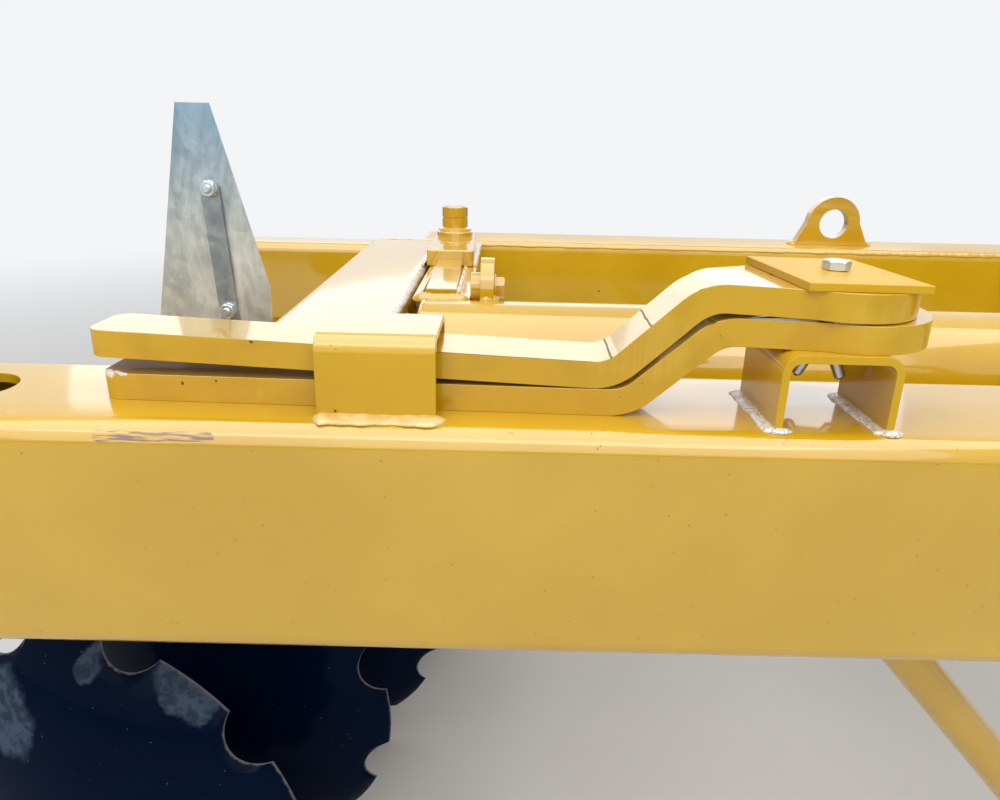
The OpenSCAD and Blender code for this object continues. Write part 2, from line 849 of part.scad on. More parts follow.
module gang_beam() {
    color(yellow) beam_frame() translate([0, beam_y0 + beam_l, 0]) rotate([90, 0, 0])
        linear_extrude(beam_l) difference() {
            round_rect(beam_s, beam_s, 10);
            round_rect(beam_s - 2 * beam_wall, beam_s - 2 * beam_wall, 4);
        }
}

module beam_caps() {
    color(yellow) beam_frame() for (y = [beam_y0, beam_y0 + beam_l + cap_t])
        translate([0, y, 0]) rotate([90, 0, 0]) linear_extrude(cap_t)
            round_rect(beam_s, beam_s, 10);
}

// Pads between the gang beam and the undersides of the near rail and the nose
pad_w = 130;
near_pad_l = 46;
far_pad_l = 96;
module pad(y, length, underside) {
    translate([gang_x + (y - gang_y) * tan(gang_angle) - pad_w / 2, y - length / 2, beam_top_z])
        cube([pad_w, length, underside - beam_top_z]);
}

module gang_pads() {
    color(yellow) {
        pad(rear_y - near_pad_l / 2 - 4, near_pad_l, -rail_h / 2);
        pad(nose_y, far_pad_l, nose_z - nose_h / 2);
    }
}

near_rail();
near_cap();
near_flange();
far_rail();
far_rail_cap();
far_nose();
nose_cap();
far_flange();
cross_beam_left();
cross_beam_right();
centre_tube();
tube_stub();
pivot_arm();
pivot_strap();
pivot_block();
pivot_pin();
tube_lug();
lug_boss();
lug_bolt();
wrench_keeper();
wrench_stand();
wrench_lower();
wrench_upper();
cover_plate();
retaining_bolt();
wing_nut();
lifting_eye_near();
lifting_eye_far();
shield_tab();
shield_plate();
shield_strap();
shield_bolts();
brace_lugs();
brace_tube();
brace_pin();
gang_beam();
beam_caps();
gang_pads();
hanger_near();
hanger_far();
bearing_near();
bearing_far();
gang_shaft();
spools();
disc_1();
disc_2();
disc_3();
disc_4();
disc_5();
gang_washers();
gang_nuts();
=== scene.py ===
# %% [markdown]
# A bay of a disc harrow's main frame: two yellow rails, cross beams and a round centre
# tube, with two cranked wrenches stowed on the near rail and a gang of notched discs
# below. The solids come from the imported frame, in metres. This file gives them their
# finish and adds the weld beads, fasteners and softened edges that the real bay has.

# %% The frame
import json
import math

import bmesh
import bpy
import numpy as np
from mathutils import Matrix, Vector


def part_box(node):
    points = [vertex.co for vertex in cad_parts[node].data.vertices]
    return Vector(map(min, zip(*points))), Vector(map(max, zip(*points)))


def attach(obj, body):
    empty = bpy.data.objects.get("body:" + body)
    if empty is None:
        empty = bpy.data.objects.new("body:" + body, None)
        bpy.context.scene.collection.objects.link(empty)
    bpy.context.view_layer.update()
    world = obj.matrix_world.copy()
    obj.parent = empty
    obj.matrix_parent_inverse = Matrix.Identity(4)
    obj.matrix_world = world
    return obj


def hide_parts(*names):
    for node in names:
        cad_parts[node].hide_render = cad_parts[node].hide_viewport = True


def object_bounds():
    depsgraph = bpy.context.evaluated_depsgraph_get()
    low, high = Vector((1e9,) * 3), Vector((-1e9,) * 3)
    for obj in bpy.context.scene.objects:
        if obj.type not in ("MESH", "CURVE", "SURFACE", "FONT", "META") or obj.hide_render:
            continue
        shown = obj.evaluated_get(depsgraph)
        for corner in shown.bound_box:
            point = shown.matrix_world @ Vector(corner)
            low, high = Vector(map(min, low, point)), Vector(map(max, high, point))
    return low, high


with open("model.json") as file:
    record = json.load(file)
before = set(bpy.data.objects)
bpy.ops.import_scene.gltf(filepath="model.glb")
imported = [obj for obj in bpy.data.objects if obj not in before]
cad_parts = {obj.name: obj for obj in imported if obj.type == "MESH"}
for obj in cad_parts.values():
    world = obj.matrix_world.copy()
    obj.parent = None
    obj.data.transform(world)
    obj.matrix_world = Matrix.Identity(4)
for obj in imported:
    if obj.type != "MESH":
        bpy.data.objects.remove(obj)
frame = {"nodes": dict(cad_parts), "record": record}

cad_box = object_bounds()
nodes = frame["nodes"]
print("nodes", len(nodes), "box", [[round(c, 3) for c in corner] for corner in cad_box])

# %% [markdown]
# The camera stands about a quarter of a metre above the rails and looks down at them
# across the machine. Its height, pitch and roll were worked out from the rails' edges and
# their vanishing points, and its lens is the wide one of a phone. A camera is turned
# about its own axis for the roll, so the roll comes last, after the pitch.

# %% Camera
RAIL_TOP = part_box("near_rail")[1].z
FACE_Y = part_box("near_rail")[0].y
CAMERA_X = -1.400
CAMERA_BACK = 0.537
CAMERA_UP = 0.220
PITCH = 19.7
ROLL = 1.35
LENS, SENSOR, NEAR_CLIP = 27.04, 36.0, 0.01

camera = bpy.data.objects.new("camera", bpy.data.cameras.new("camera"))
camera.data.lens = LENS
camera.data.sensor_width = SENSOR
camera.data.clip_start = NEAR_CLIP
camera.matrix_world = (
    Matrix.Translation((CAMERA_X, FACE_Y - CAMERA_BACK, RAIL_TOP + CAMERA_UP))
    @ Matrix.Rotation(math.radians(90.0 - PITCH), 4, "X")
    @ Matrix.Rotation(math.radians(ROLL), 4, "Z")
)
bpy.context.scene.collection.objects.link(camera)
bpy.context.scene.camera = camera
print("camera at", [round(c, 3) for c in camera.location])

# %% [markdown]
# Shader maths reads best as plain expressions. One small class wraps a node's socket, so
# that a + b or 1 - a adds the Math node for it, and its method node adds any other node.
# The numbers that never change over a surface go straight to the shader's own sockets.

# %% Socket wrapper
class Field:
    """A value that varies over a surface: a socket with operators that add Math nodes."""

    def __init__(self, tree, socket):
        self.tree = tree
        self.socket = socket

    def node(self, kind, settings=None, output=0, **inputs):
        """Adds a node, sets its settings first, then its inputs, and wraps one output."""
        made = self.tree.nodes.new(kind)
        for key, value in (settings or {}).items():
            setattr(made, key, value)
        for key, value in inputs.items():
            name = int(key[1:]) if key[0] == "i" and key[1:].isdigit() else key.replace("_", " ")
            plug(self.tree, value, made.inputs[name])
        return Field(self.tree, made.outputs[output])

    def math(self, operation, *values):
        inputs = {f"i{k}": value for k, value in enumerate(values)}
        return self.node("ShaderNodeMath", {"operation": operation}, **inputs)

    def __add__(self, other):
        return self.math("ADD", self, other)

    def __sub__(self, other):
        return self.math("SUBTRACT", self, other)

    def __mul__(self, other):
        return self.math("MULTIPLY", self, other)

    def __radd__(self, other):
        return self.math("ADD", other, self)

    def __rsub__(self, other):
        return self.math("SUBTRACT", other, self)

    def __rmul__(self, other):
        return self.math("MULTIPLY", other, self)

    def __gt__(self, other):
        return self.math("GREATER_THAN", self, other)

    def __lt__(self, other):
        return self.math("LESS_THAN", self, other)

    def smooth(self, low, high):
        """0 below low, 1 above high, with a soft step between."""
        settings = {"interpolation_type": "SMOOTHSTEP"}
        return self.node("ShaderNodeMapRange", settings, Value=self, From_Min=low, From_Max=high)

    def tint(self, low, high):
        """A colour between low at 0 and high at 1."""
        return mix_colour(self, low, high)


def plug(tree, value, socket):
    """Links a field to a socket, or sets the socket's own value."""
    if isinstance(value, Field):
        tree.links.new(value.socket, socket)
    elif isinstance(value, (tuple, list)) and socket.type == "RGBA":
        socket.default_value = (*value[:3], 1.0)
    else:
        socket.default_value = value


def mix_colour(factor, low, high):
    """low where the factor is 0 and high where it is 1."""
    made = factor.tree.nodes.new("ShaderNodeMix")
    made.data_type = "RGBA"
    plug(factor.tree, factor, made.inputs[0])
    plug(factor.tree, low, made.inputs[6])
    plug(factor.tree, high, made.inputs[7])
    return Field(factor.tree, made.outputs[2])


def new_material(name, **fixed):
    """A material whose shader has its fixed values set; gives it, its place field and shader."""
    material = bpy.data.materials.new(name)
    material.use_nodes = True
    tree = material.node_tree
    shader = tree.nodes["Principled BSDF"]
    for key, value in fixed.items():
        plug(tree, value, shader.inputs[key.replace("_", " ")])
    place = tree.nodes.new("ShaderNodeTexCoord").outputs["Object"]
    return material, Field(tree, place), shader


def dressed(made, colour, rough, relief, strength, distance):
    """Gives a new material its colour, roughness and relief; the last two set the bump."""
    material, place, shader = made
    bump = place.node("ShaderNodeBump", Height=relief, Strength=strength, Distance=distance)
    for key, value in (("Base Color", colour), ("Roughness", rough), ("Normal", bump)):
        plug(place.tree, value, shader.inputs[key])
    return material


def noise(place, scale, detail=2.0, roughness=0.5, distortion=0.0):
    return place.node("ShaderNodeTexNoise", Vector=place, Scale=scale, Detail=detail,
                      Roughness=roughness, Distortion=distortion)


def vector_math(place, operation, output=0, **inputs):
    """A Vector Math node; its output 1 is the one that holds a number."""
    return place.node("ShaderNodeVectorMath", {"operation": operation}, output, **inputs)


def cells(place, scale, feature="F1", output=0):
    """A Voronoi pattern: output 0 is a distance and output 1 each cell's own colour."""
    return place.node("ShaderNodeTexVoronoi", {"feature": feature}, output,
                      Vector=place, Scale=scale)


def stretched(place, scale):
    return place.node("ShaderNodeMapping", Vector=place, Scale=scale)


def part_of(place, index):
    """One coordinate of a vector: 0 for x, 1 for y and 2 for z."""
    return place.node("ShaderNodeSeparateXYZ", output=index, Vector=place)


def near_line(place, start, end, radius):
    """1 within radius of a segment and 0 past 1.6 radius. The distance is from the point to
    its foot on the segment, whose share of the length is clamped between 0 and 1."""
    way = np.array(end) - np.array(start)
    offset = vector_math(place, "SUBTRACT", i0=place, i1=tuple(start))
    share = vector_math(place, "DOT_PRODUCT", 1, i0=offset, i1=tuple(way / way.dot(way)))
    held = place.node("ShaderNodeClamp", Value=share)
    foot = vector_math(place, "SCALE", i0=tuple(way), Scale=held)
    gap = vector_math(place, "DISTANCE", 1, i0=offset, i1=foot)
    return 1.0 - gap.smooth(radius, 1.6 * radius)


def strongest(masks):
    """The largest of a list of masks."""
    whole = masks[0]
    for mask in masks[1:]:
        whole = whole.math("MAXIMUM", whole, mask)
    return whole


def crooked(place, scale, reach):
    """The place moved by a noise, so that marks set by lengths get ragged outlines."""
    tone = place.node("ShaderNodeTexNoise", output=1, Vector=place, Scale=scale, Detail=2.0)
    step = vector_math(place, "SUBTRACT", i0=tone, i1=(0.5, 0.5, 0.5))
    step = vector_math(place, "SCALE", i0=step, Scale=2.0 * reach)
    return vector_math(place, "ADD", i0=place, i1=step)


print("socket wrapper ready")

# %% [markdown]
# The enamel is sprayed thick over black steel. It is deep ochre-yellow and very glossy, so
# the shader has a yellow base under a clear coat. It carries a faint orange peel, soft
# clouds where the paint is thicker, and a scatter of dust specks. All of it reads Object
# coordinates, so it runs on from piece to piece.
#
# The marks of use lie at known places. A row holds the two ends of a segment and a radius,
# in metres, and a crooked place gives each mark a ragged outline.

# %% Marks in the enamel
DARK_CHIPS = [
    ((-1.6655, -0.0289, 0.1210), (-1.6652, -0.0289, 0.1222), 0.0009),
    ((-1.6364, -0.0297, 0.1247), (-1.6362, -0.0297, 0.1250), 0.0008),
    ((-1.6044, -0.0317, 0.1596), (-1.6032, -0.0317, 0.1590), 0.0009),
    ((-1.7540, 0.0175, 0.1604), (-1.7358, -0.0050, 0.1604), 0.0006),
    ((-1.5318, -0.0590, 0.1116), (-1.5318, -0.0590, 0.1120), 0.0009),
    ((-1.1934, 0.9790, 0.0060), (-1.1934, 0.9790, 0.0070), 0.0016),
]
# Creases across the upper wrench: real grooves, whose dark tone is painted shade.
CREASES = [
    ((-1.2818, -0.0425, 0.1824), (-1.2799, 0.0190, 0.1824), 0.0007),
    ((-1.3114, -0.0415, 0.1555), (-1.3096, 0.0200, 0.1555), 0.0007),
]
PALE_CHIPS = [
    ((-1.7310, -0.0200, 0.1285), (-1.7260, -0.0270, 0.1285), 0.0030),
    ((-1.7230, -0.0220, 0.1285), (-1.7120, -0.0290, 0.1285), 0.0016),
]
SCUFF = [((-1.7120, -0.0825, 0.0955), (-1.6280, -0.0825, 0.0955), 0.0036)]


def marks(place, rows):
    return strongest([near_line(place, start, end, radius) for start, end, radius in rows])


print("marks", len(DARK_CHIPS) + len(CREASES) + len(PALE_CHIPS) + len(SCUFF))

# %% [markdown]
# One function makes every coat of the enamel, and its arguments set how they differ. The
# wrenches are flame-cut, and the torch leaves fine upright drag lines in patches on their
# sides. Paint runs off upright faces and lies thinner there. The level face of the lower
# handle, where the upper one covers it, gets painted shade: a darker tone and less coat.

# %% Yellow enamel
DEEP_YELLOW, LIGHT_YELLOW = (0.56, 0.322, 0.004), (0.63, 0.372, 0.010)
DRAG_TONE, SHADE_TONE = (0.66, 0.43, 0.05), (0.42, 0.23, 0.002)
SPECK_TONE, SCUFF_TONE = (0.10, 0.055, 0.02), (0.16, 0.11, 0.15)
# The crease tone is painted shade; the steel tone is bare steel in the chips.
CREASE_SHADE, STEEL_TONE = (0.12, 0.06, 0.01), (0.07, 0.035, 0.012)
# The second tone is painted shade on the lower handle's level face, under the upper one.
PRIMER_TONE, UNDER_HANDLE_SHADE = (0.78, 0.74, 0.66), (0.26, 0.14, 0.01)
CRANK_FROM, CRANK_TO = -1.36, -1.30


def flame_drag(place):
    """Upright lines: a noise stretched along Z, kept in patches by a slower noise."""
    tall = stretched(place, (330.0, 330.0, 14.0))
    return noise(tall, 1.0, 2.0, 0.5) * noise(place, 18.0, 1.0).smooth(0.42, 0.62)


def yellow_enamel(name, coat, dull=0.0, cut=0.0, shaded_under=False, thin=0.0):
    """cut is the depth of the drag lines, thin is the share of the coat that upright faces
    lose, and the last flag paints shade on the level face under the upper handle."""
    made = new_material(name, Specular_IOR_Level=0.2, Coat_Roughness=0.06 + dull, Coat_IOR=1.75)
    place, shader = made[1:]
    clouds = noise(place, 5.0, 3.0, 0.55)
    peel = noise(place, 420.0, 2.0, 0.5)
    lumps = noise(place, 38.0, 3.0, 0.6)
    specks = (cells(place, 160.0) < 0.13) * (noise(place, 60.0, 1.0) > 0.62)
    ragged = crooked(place, 300.0, 0.0016)
    chips = marks(ragged, DARK_CHIPS)
    pale = marks(ragged, PALE_CHIPS)
    creases = marks(crooked(place, 60.0, 0.0012), CREASES)
    scratches = noise(stretched(place, (40.0, 800.0, 800.0)), 1.0, 2.0, 0.5)
    scuff = marks(crooked(place, 90.0, 0.003), SCUFF) * scratches.smooth(0.45, 0.56)
    colour = clouds.smooth(0.3, 0.7).tint(DEEP_YELLOW, LIGHT_YELLOW)
    relief = peel * 0.20 + lumps * 0.6 + specks * 0.4 - creases * 0.8 - chips * 0.8
    if cut:
        drag = flame_drag(place)
        relief = relief + drag * cut
        shade = noise(place, 22.0, 2.0, 0.5).smooth(0.45, 0.75) * 0.35
        colour = mix_colour(drag.smooth(0.3, 0.7) * 0.45, colour, DRAG_TONE)
        colour = mix_colour(shade, colour, SHADE_TONE)
    # The crease tone paints shade in the grooves; the other marks are the paint's own.
    for mask, tone in ((specks * 0.6, SPECK_TONE), (scuff * 0.8, SCUFF_TONE),
                       (creases * 0.85, CREASE_SHADE), (chips, STEEL_TONE), (pale, PRIMER_TONE)):
        colour = mix_colour(mask, colour, tone)
    rough = 0.16 + dull + clouds * 0.12 + specks * 0.3 + scuff * 0.3
    broken = strongest([specks * 0.5, creases * 0.8, chips, pale, scuff * 0.6])
    if thin or shaded_under:
        rise = part_of(place.node("ShaderNodeNewGeometry", output="Normal"), 2)
    if thin:
        broken = strongest([broken, (1.0 - (rise * rise).smooth(0.10, 0.35)) * thin])
    # Painted shade under the upper handle: a darker tone, less coat and more roughness.
    if shaded_under:
        covered = 1.0 - part_of(place, 0).smooth(CRANK_FROM, CRANK_TO)
        under_shade = rise.smooth(0.75, 0.97) * covered * (1.0 - pale) * 0.9
        colour = mix_colour(under_shade, colour, UNDER_HANDLE_SHADE)
        broken = strongest([broken, under_shade])
        rough = rough + under_shade * 0.4
    plug(place.tree, coat * (1.0 - broken), shader.inputs["Coat Weight"])
    return dressed(made, colour, rough + creases * 0.4, relief, 0.25, 0.0012)


# %% [markdown]
# A weld bead takes the paint badly. The enamel lies thin on it and breaks into fine cracks,
# which are the borders of Voronoi cells. The pale tones below are a painted reflection of
# the sky on the beads in full view; the rest of the beads keep the frame's own enamel.

# %% Enamel on beads, and the coats in use
CRACK_TONE = (0.22, 0.15, 0.07)


def bead_enamel(name, low, high, crackle):
    """Patches between a low and a high tone, which paint the sky's reflection, with cracks as
    strong as crackle.
    """
    made = new_material(
        name, Specular_IOR_Level=0.3, Coat_Roughness=0.22, Coat_Weight=0.7, Coat_IOR=1.6)
    place = made[1]
    grain = noise(place, 420.0, 3.0, 0.6)
    patches = noise(place, 70.0, 3.0, 0.55)
    borders = cells(crooked(place, 160.0, 0.003), 170.0, "DISTANCE_TO_EDGE")
    cracks = (1.0 - borders.smooth(0.015, 0.07)) * crackle
    colour = mix_colour(cracks, patches.smooth(0.35, 0.65).tint(low, high), CRACK_TONE)
    return dressed(made, colour, 0.32 + grain * 0.15, grain * 0.6 - cracks, 0.4, 0.0010)


MATERIALS = {"yellow_paint": yellow_enamel("yellow_enamel", 1.0)}
PLATE_ENAMEL = yellow_enamel("plate_enamel", 0.15, 0.22)
BAR_ENAMEL = yellow_enamel("bar_enamel", 1.0, cut=1.1, thin=0.6)
# The lower handle's enamel carries painted shade where the upper handle covers it.
LOWER_ENAMEL = yellow_enamel("lower_bar_enamel", 1.0, cut=1.1, shaded_under=True, thin=0.6)
KEEPER_ENAMEL = yellow_enamel("keeper_enamel", 1.0, thin=0.7)
THIN_ENAMEL = yellow_enamel("thin_enamel", 0.2)
# The beads' pale tones paint the sky's reflection on their tops; the cracks are the paint's own.
KEEPER_BEAD_SHEEN = bead_enamel("keeper_bead_painted_sheen", (0.66, 0.46, 0.13), (0.78, 0.60, 0.28), 0.15)
STAND_BEAD_SHEEN = bead_enamel("stand_bead_painted_sheen", (0.72, 0.66, 0.56), (0.86, 0.82, 0.76), 0.7)
print("enamels", len(bpy.data.materials))

# %% [markdown]
# Two kinds of zinc: bright plate on the bolts, and hot-dip galvanising on the shield, whose
# frozen zinc shows as crystal patches. The patches are Voronoi cells, each with its own
# tone, because that is how the crystals meet. Bare zinc mirrors what is above it, and a
# painted reflection of the blue sky turns its tone cooler towards the shield's top.

# %% Zinc
PLATE_LOW, PLATE_HIGH = (0.46, 0.51, 0.55), (0.68, 0.72, 0.74)
SKY_REFLECTION_LOW, SKY_REFLECTION_HIGH = (0.09, 0.18, 0.26), (0.22, 0.36, 0.48)


def bright_zinc():
    """Plated zinc with a thin uneven film."""
    made = new_material("bright_zinc", Metallic=1.0)
    film_and_sheen = noise(made[1], 70.0, 3.0, 0.6)
    return dressed(made, film_and_sheen.tint(PLATE_LOW, PLATE_HIGH), 0.24 + film_and_sheen * 0.22, film_and_sheen, 0.2, 0.0006)


def galvanised(name, low, high, sky=0.0):
    """Crystal patches and long smears; sky is how far a painted reflection of the sky cools
    the tone at the top.
    """
    made = new_material(name, Metallic=0.8)
    place = made[1]
    warp = noise(place, 25.0, 2.0)
    crystals = cells(place, 95.0, output=1)
    tone = crystals.node("ShaderNodeSeparateColor", Color=crystals)
    smears = noise(stretched(place, (1.0, 1.0, 0.35)), 30.0, 5.0, 0.7, 0.6)
    level = tone * 0.22 + smears.smooth(0.35, 0.68) * 0.78
    # Painted reflection: the tone turns to the blue sky tones towards the top.
    colour = mix_colour(part_of(place, 2).smooth(0.16, 0.36) * sky, level.tint(low, high),
                        level.tint(SKY_REFLECTION_LOW, SKY_REFLECTION_HIGH))
    relief = tone * 0.6 + warp * 0.4 + smears * 0.5
    return dressed(made, colour, 0.26 + tone * 0.10 + smears * 0.16, relief, 0.12, 0.0008)


MATERIALS["bright_zinc"] = bright_zinc()
MATERIALS["galvanised"] = galvanised("galvanised", (0.44, 0.48, 0.47), (0.74, 0.76, 0.70), 0.9)
STRAP_ZINC = galvanised("strap_zinc", (0.20, 0.23, 0.25), (0.42, 0.46, 0.48))
print("zinc on", sorted(set(MATERIALS) - {"yellow_paint"}), "and", STRAP_ZINC.name)

# %% [markdown]
# The discs are dipped in a blue-black enamel that reads almost black. Grey-blue patches of
# painted sky reflection lie on the front disc at a few places, small nicks are scattered
# over all the discs, and the sharpened edge is worn to bare steel. The shader knows the edge
# from the second value of the disc's UV map, which is 1 there. The castings on the shaft are
# plain black.

# %% Disc enamel and cast iron
# Spots where grey-blue patches paint the sky's reflection on the front disc.
REFLECTION_SPOTS = [
    ((-1.800, 0.128, -0.312), (-1.752, 0.114, -0.342), 0.013),
    ((-1.790, 0.115, -0.335), (-1.757, 0.110, -0.352), 0.012),
    ((-1.893, 0.144, -0.294), (-1.905, 0.134, -0.315), 0.011),
    ((-2.030, 0.143, -0.360), (-2.005, 0.125, -0.400), 0.026),
]
IRON_LOW, IRON_HIGH = (0.012, 0.012, 0.013), (0.035, 0.034, 0.034)
NAVY_LOW, NAVY_HIGH = (0.0002, 0.0028, 0.013), (0.0004, 0.0066, 0.028)
REFLECTION_TONE, NICK_TONE, BARE_TONE = (0.052, 0.078, 0.122), (0.20, 0.21, 0.22), (0.13, 0.115, 0.13)


def disc_black():
    """Blue-black clouds, then patches of painted reflection, nicks and the bare edge laid over
    them in turn.
    """
    made = new_material(
        "disc_black", Specular_IOR_Level=0.02, Coat_Weight=0.035, Coat_Roughness=0.04)
    place = made[1]
    clouds = noise(place, 9.0, 3.0, 0.6)
    fine = noise(place, 150.0, 4.0, 0.65)
    edge = part_of(place.node("ShaderNodeTexCoord", output="UV"), 1)
    bare = (edge + fine * 0.5 - 0.25).smooth(0.78, 1.02)
    ragged = crooked(place, 45.0, 0.012)
    # Grey-blue patches of painted reflection, rougher than the enamel round them.
    film_and_sheen = marks(ragged, REFLECTION_SPOTS) * (0.45 + 0.55 * noise(ragged, 60.0, 3.0, 0.6).smooth(0.42, 0.60))
    nicks = cells(ragged, 55.0) < 0.05
    colour = clouds.tint(NAVY_LOW, NAVY_HIGH)
    for mask, tone in ((film_and_sheen, REFLECTION_TONE), (nicks * 0.4, NICK_TONE), (bare, BARE_TONE)):
        colour = mix_colour(mask, colour, tone)
    rough = 0.16 + clouds * 0.14 + film_and_sheen * 0.3 + bare * 0.2
    return dressed(made, colour, rough, clouds + film_and_sheen * 0.3 - bare * 0.2, 0.12, 0.002)


def cast_iron():
    """A rough sand-cast skin under thin black paint."""
    made = new_material("cast_iron", Specular_IOR_Level=0.4)
    grain = noise(made[1], 350.0, 3.0, 0.7)
    clouds = noise(made[1], 20.0, 3.0, 0.6)
    return dressed(made, clouds.tint(IRON_LOW, IRON_HIGH), 0.42 + clouds * 0.2, grain, 0.5, 0.0010)


MATERIALS["disc_black"] = disc_black()
MATERIALS["cast_iron"] = cast_iron()
SLOT_OF = {row["node"]: row["material_slot"] for row in frame["record"]["subparts"]}
for name, node in nodes.items():
    node.data.materials.clear()
    node.data.materials.append(MATERIALS[SLOT_OF[name]])
print("slots", sorted(MATERIALS))

# %% [markdown]
# The CAD solids have knife edges, but rolled tube, flame-cut bar and folded strap never do:
# the paint rounds them further, and that thin highlight along each edge is what makes steel
# look like steel. Each visible node is copied, its flat triangles are joined back into whole
# faces, and a Bevel modifier rounds every edge sharper than the limit. The near rail and
# most small parts keep the full coat; FINISHES names the nodes that don't.

# %% Softened copies
BODY_OF = {}
for body_name, members in frame["record"]["behaviour"]["bodies"].items():
    BODY_OF.update({member: body_name for member in members})


def add_piece(name, mesh, slot, body="frame", material=None):
    """Links a finished mesh as a piece that rides on a body, with a record slot's material
    unless another material is given.
    """
    piece = bpy.data.objects.new(name, mesh)
    bpy.context.scene.collection.objects.link(piece)
    mesh.materials.clear()
    mesh.materials.append(material or MATERIALS[slot])
    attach(piece, body)
    return piece


def smooth_by_angle(mesh, degrees):
    mesh.shade_smooth()
    mesh.set_sharp_from_angle(angle=math.radians(degrees))


FLAT_DEGREES, SHARP_DEGREES = 0.5, 32.0
WIDE_EDGE = 0.003


def soften(name, width, material=None):
    """A copy of a node with joined faces and rounded edges, in the node's place."""
    mesh = nodes[name].data.copy()
    work = bmesh.new()
    work.from_mesh(mesh)
    bmesh.ops.remove_doubles(work, verts=work.verts, dist=1e-6)
    bmesh.ops.dissolve_limit(work, angle_limit=math.radians(FLAT_DEGREES), verts=work.verts,
                             edges=work.edges)
    work.to_mesh(mesh)
    work.free()
    smooth_by_angle(mesh, SHARP_DEGREES)
    piece = add_piece(name + "_soft", mesh, SLOT_OF[name], BODY_OF[name], material)
    bevel = piece.modifiers.new("round", "BEVEL")
    bevel.width = width
    bevel.segments = 2 if width < WIDE_EDGE else 3
    bevel.limit_method = "ANGLE"
    bevel.angle_limit = math.radians(SHARP_DEGREES)
    bevel.harden_normals = True
    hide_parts(name)


EDGE_WIDTHS = {
    "near_rail": 0.0008, "near_cap": 0.0008, "far_rail": 0.0008, "far_nose": 0.0008,
    "nose_cap": 0.0008, "cross_beam_left": 0.0008, "cross_beam_right": 0.0008,
    "centre_tube": 0.0012, "pivot_arm": 0.0020, "gang_beam": 0.0010, "beam_caps": 0.0010,
    "wrench_lower": 0.0034, "wrench_upper": 0.0034, "cover_plate": 0.0009,
    "wrench_keeper": 0.0009, "wrench_stand": 0.0009, "lifting_eye_near": 0.0014,
    "lifting_eye_far": 0.0014, "pivot_block": 0.0030, "pivot_strap": 0.0016,
    "tube_lug": 0.0016, "lug_boss": 0.0010, "shield_strap": 0.0008,
    "shield_plate": 0.0007, "brace_lugs": 0.0016, "brace_tube": 0.0020, "gang_pads": 0.0015,
    "near_flange": 0.0014, "far_flange": 0.0014, "hanger_near": 0.0035, "hanger_far": 0.0035,
    "bearing_near": 0.0040, "bearing_far": 0.0040, "shield_tab": 0.0015,
    "gang_washers": 0.0020, "spools": 0.0025,
}
FINISHES = {"cover_plate": PLATE_ENAMEL, "shield_strap": STRAP_ZINC, "wrench_upper": BAR_ENAMEL,
            "wrench_lower": LOWER_ENAMEL, "wrench_keeper": KEEPER_ENAMEL,
            "wrench_stand": THIN_ENAMEL, "far_rail": THIN_ENAMEL}
for name, width in EDGE_WIDTHS.items():
    soften(name, width, material=FINISHES.get(name))
print("softened", len(EDGE_WIDTHS))

# %% [markdown]
# New pieces are surfaces computed with numpy. A grid of points, rows along a path and
# columns round a section, becomes quads by index arithmetic; where a surface closes on
# itself the last column joins the first. Parts of one piece are stacked into one mesh, and
# bmesh turns all faces outward. A rebuilt piece takes the place of the node it is named for.

# %% Surfaces from arrays
def grid_quads(rows, cols, wrap):
    """Quads between neighbours of a rows x cols grid; wrap joins the last column to the first."""
    span = cols if wrap else cols - 1
    i, j = np.meshgrid(np.arange(rows - 1), np.arange(span), indexing="ij")
    k = (j + 1) % cols
    quads = np.stack([i * cols + j, i * cols + k, (i + 1) * cols + k, (i + 1) * cols + j], -1)
    return quads.reshape(-1, 4).tolist()


def swept(sections):
    """A closed body from an array of closed sections (rows, cols, 3), with a cap at each end."""
    rows, cols, _ = sections.shape
    faces = grid_quads(rows, cols, True)
    first = list(range(cols))
    last = [(rows - 1) * cols + j for j in range(cols)]
    return sections.reshape(-1, 3), faces + [first[::-1], last]


def looped(sections):
    """A closed ring body: the last section joins the first."""
    rows, cols, _ = sections.shape
    quads = grid_quads(rows + 1, cols, True)
    return sections.reshape(-1, 3), [[index % (rows * cols) for index in quad] for quad in quads]


def joined(name, parts, smooth=35.0, uv=None):
    """One mesh from (points, faces) parts, faces turned outward; uv gives one pair a point."""
    points, faces, start = [], [], 0
    for part_points, part_faces in parts:
        points.append(part_points)
        faces += [[start + index for index in face] for face in part_faces]
        start += len(part_points)
    mesh = bpy.data.meshes.new(name)
    mesh.from_pydata(np.concatenate(points).tolist(), [], faces)
    work = bmesh.new()
    work.from_mesh(mesh)
    bmesh.ops.recalc_face_normals(work, faces=work.faces)
    work.to_mesh(mesh)
    work.free()
    smooth_by_angle(mesh, smooth)
    if uv is not None:
        corner = np.empty(len(mesh.loops), dtype=int)
        mesh.loops.foreach_get("vertex_index", corner)
        mesh.uv_layers.new(name="UVMap").data.foreach_set("uv", np.asarray(uv)[corner].ravel())
    return mesh


def rebuilt(name, parts, smooth=30.0, uv=None):
    """A new piece from parts, with the body and the slot of the node that it replaces."""
    mesh = joined(name + "_mesh", parts, smooth, uv)
    piece = add_piece(name + "_soft", mesh, SLOT_OF[name], BODY_OF[name])
    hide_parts(name)


def unit(vector):
    vector = np.asarray(vector, dtype=float)
    return vector / np.linalg.norm(vector)


def corners_of(name):
    low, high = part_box(name)
    return np.array(low), np.array(high)


X, Y, Z = np.eye(3)
TOP = RAIL_TOP
print("surface helpers ready")

# %% [markdown]
# The welds are laid by hand in short overlapping pools, so a bead is a row of scallops with
# a slightly uneven width, not a smooth fillet. Each bead follows a path in the corner of
# two faces; its section is a bulged quarter circle between the two legs, and its size
# rises and falls once a pool. A seam that lies on one face has half a circle instead.

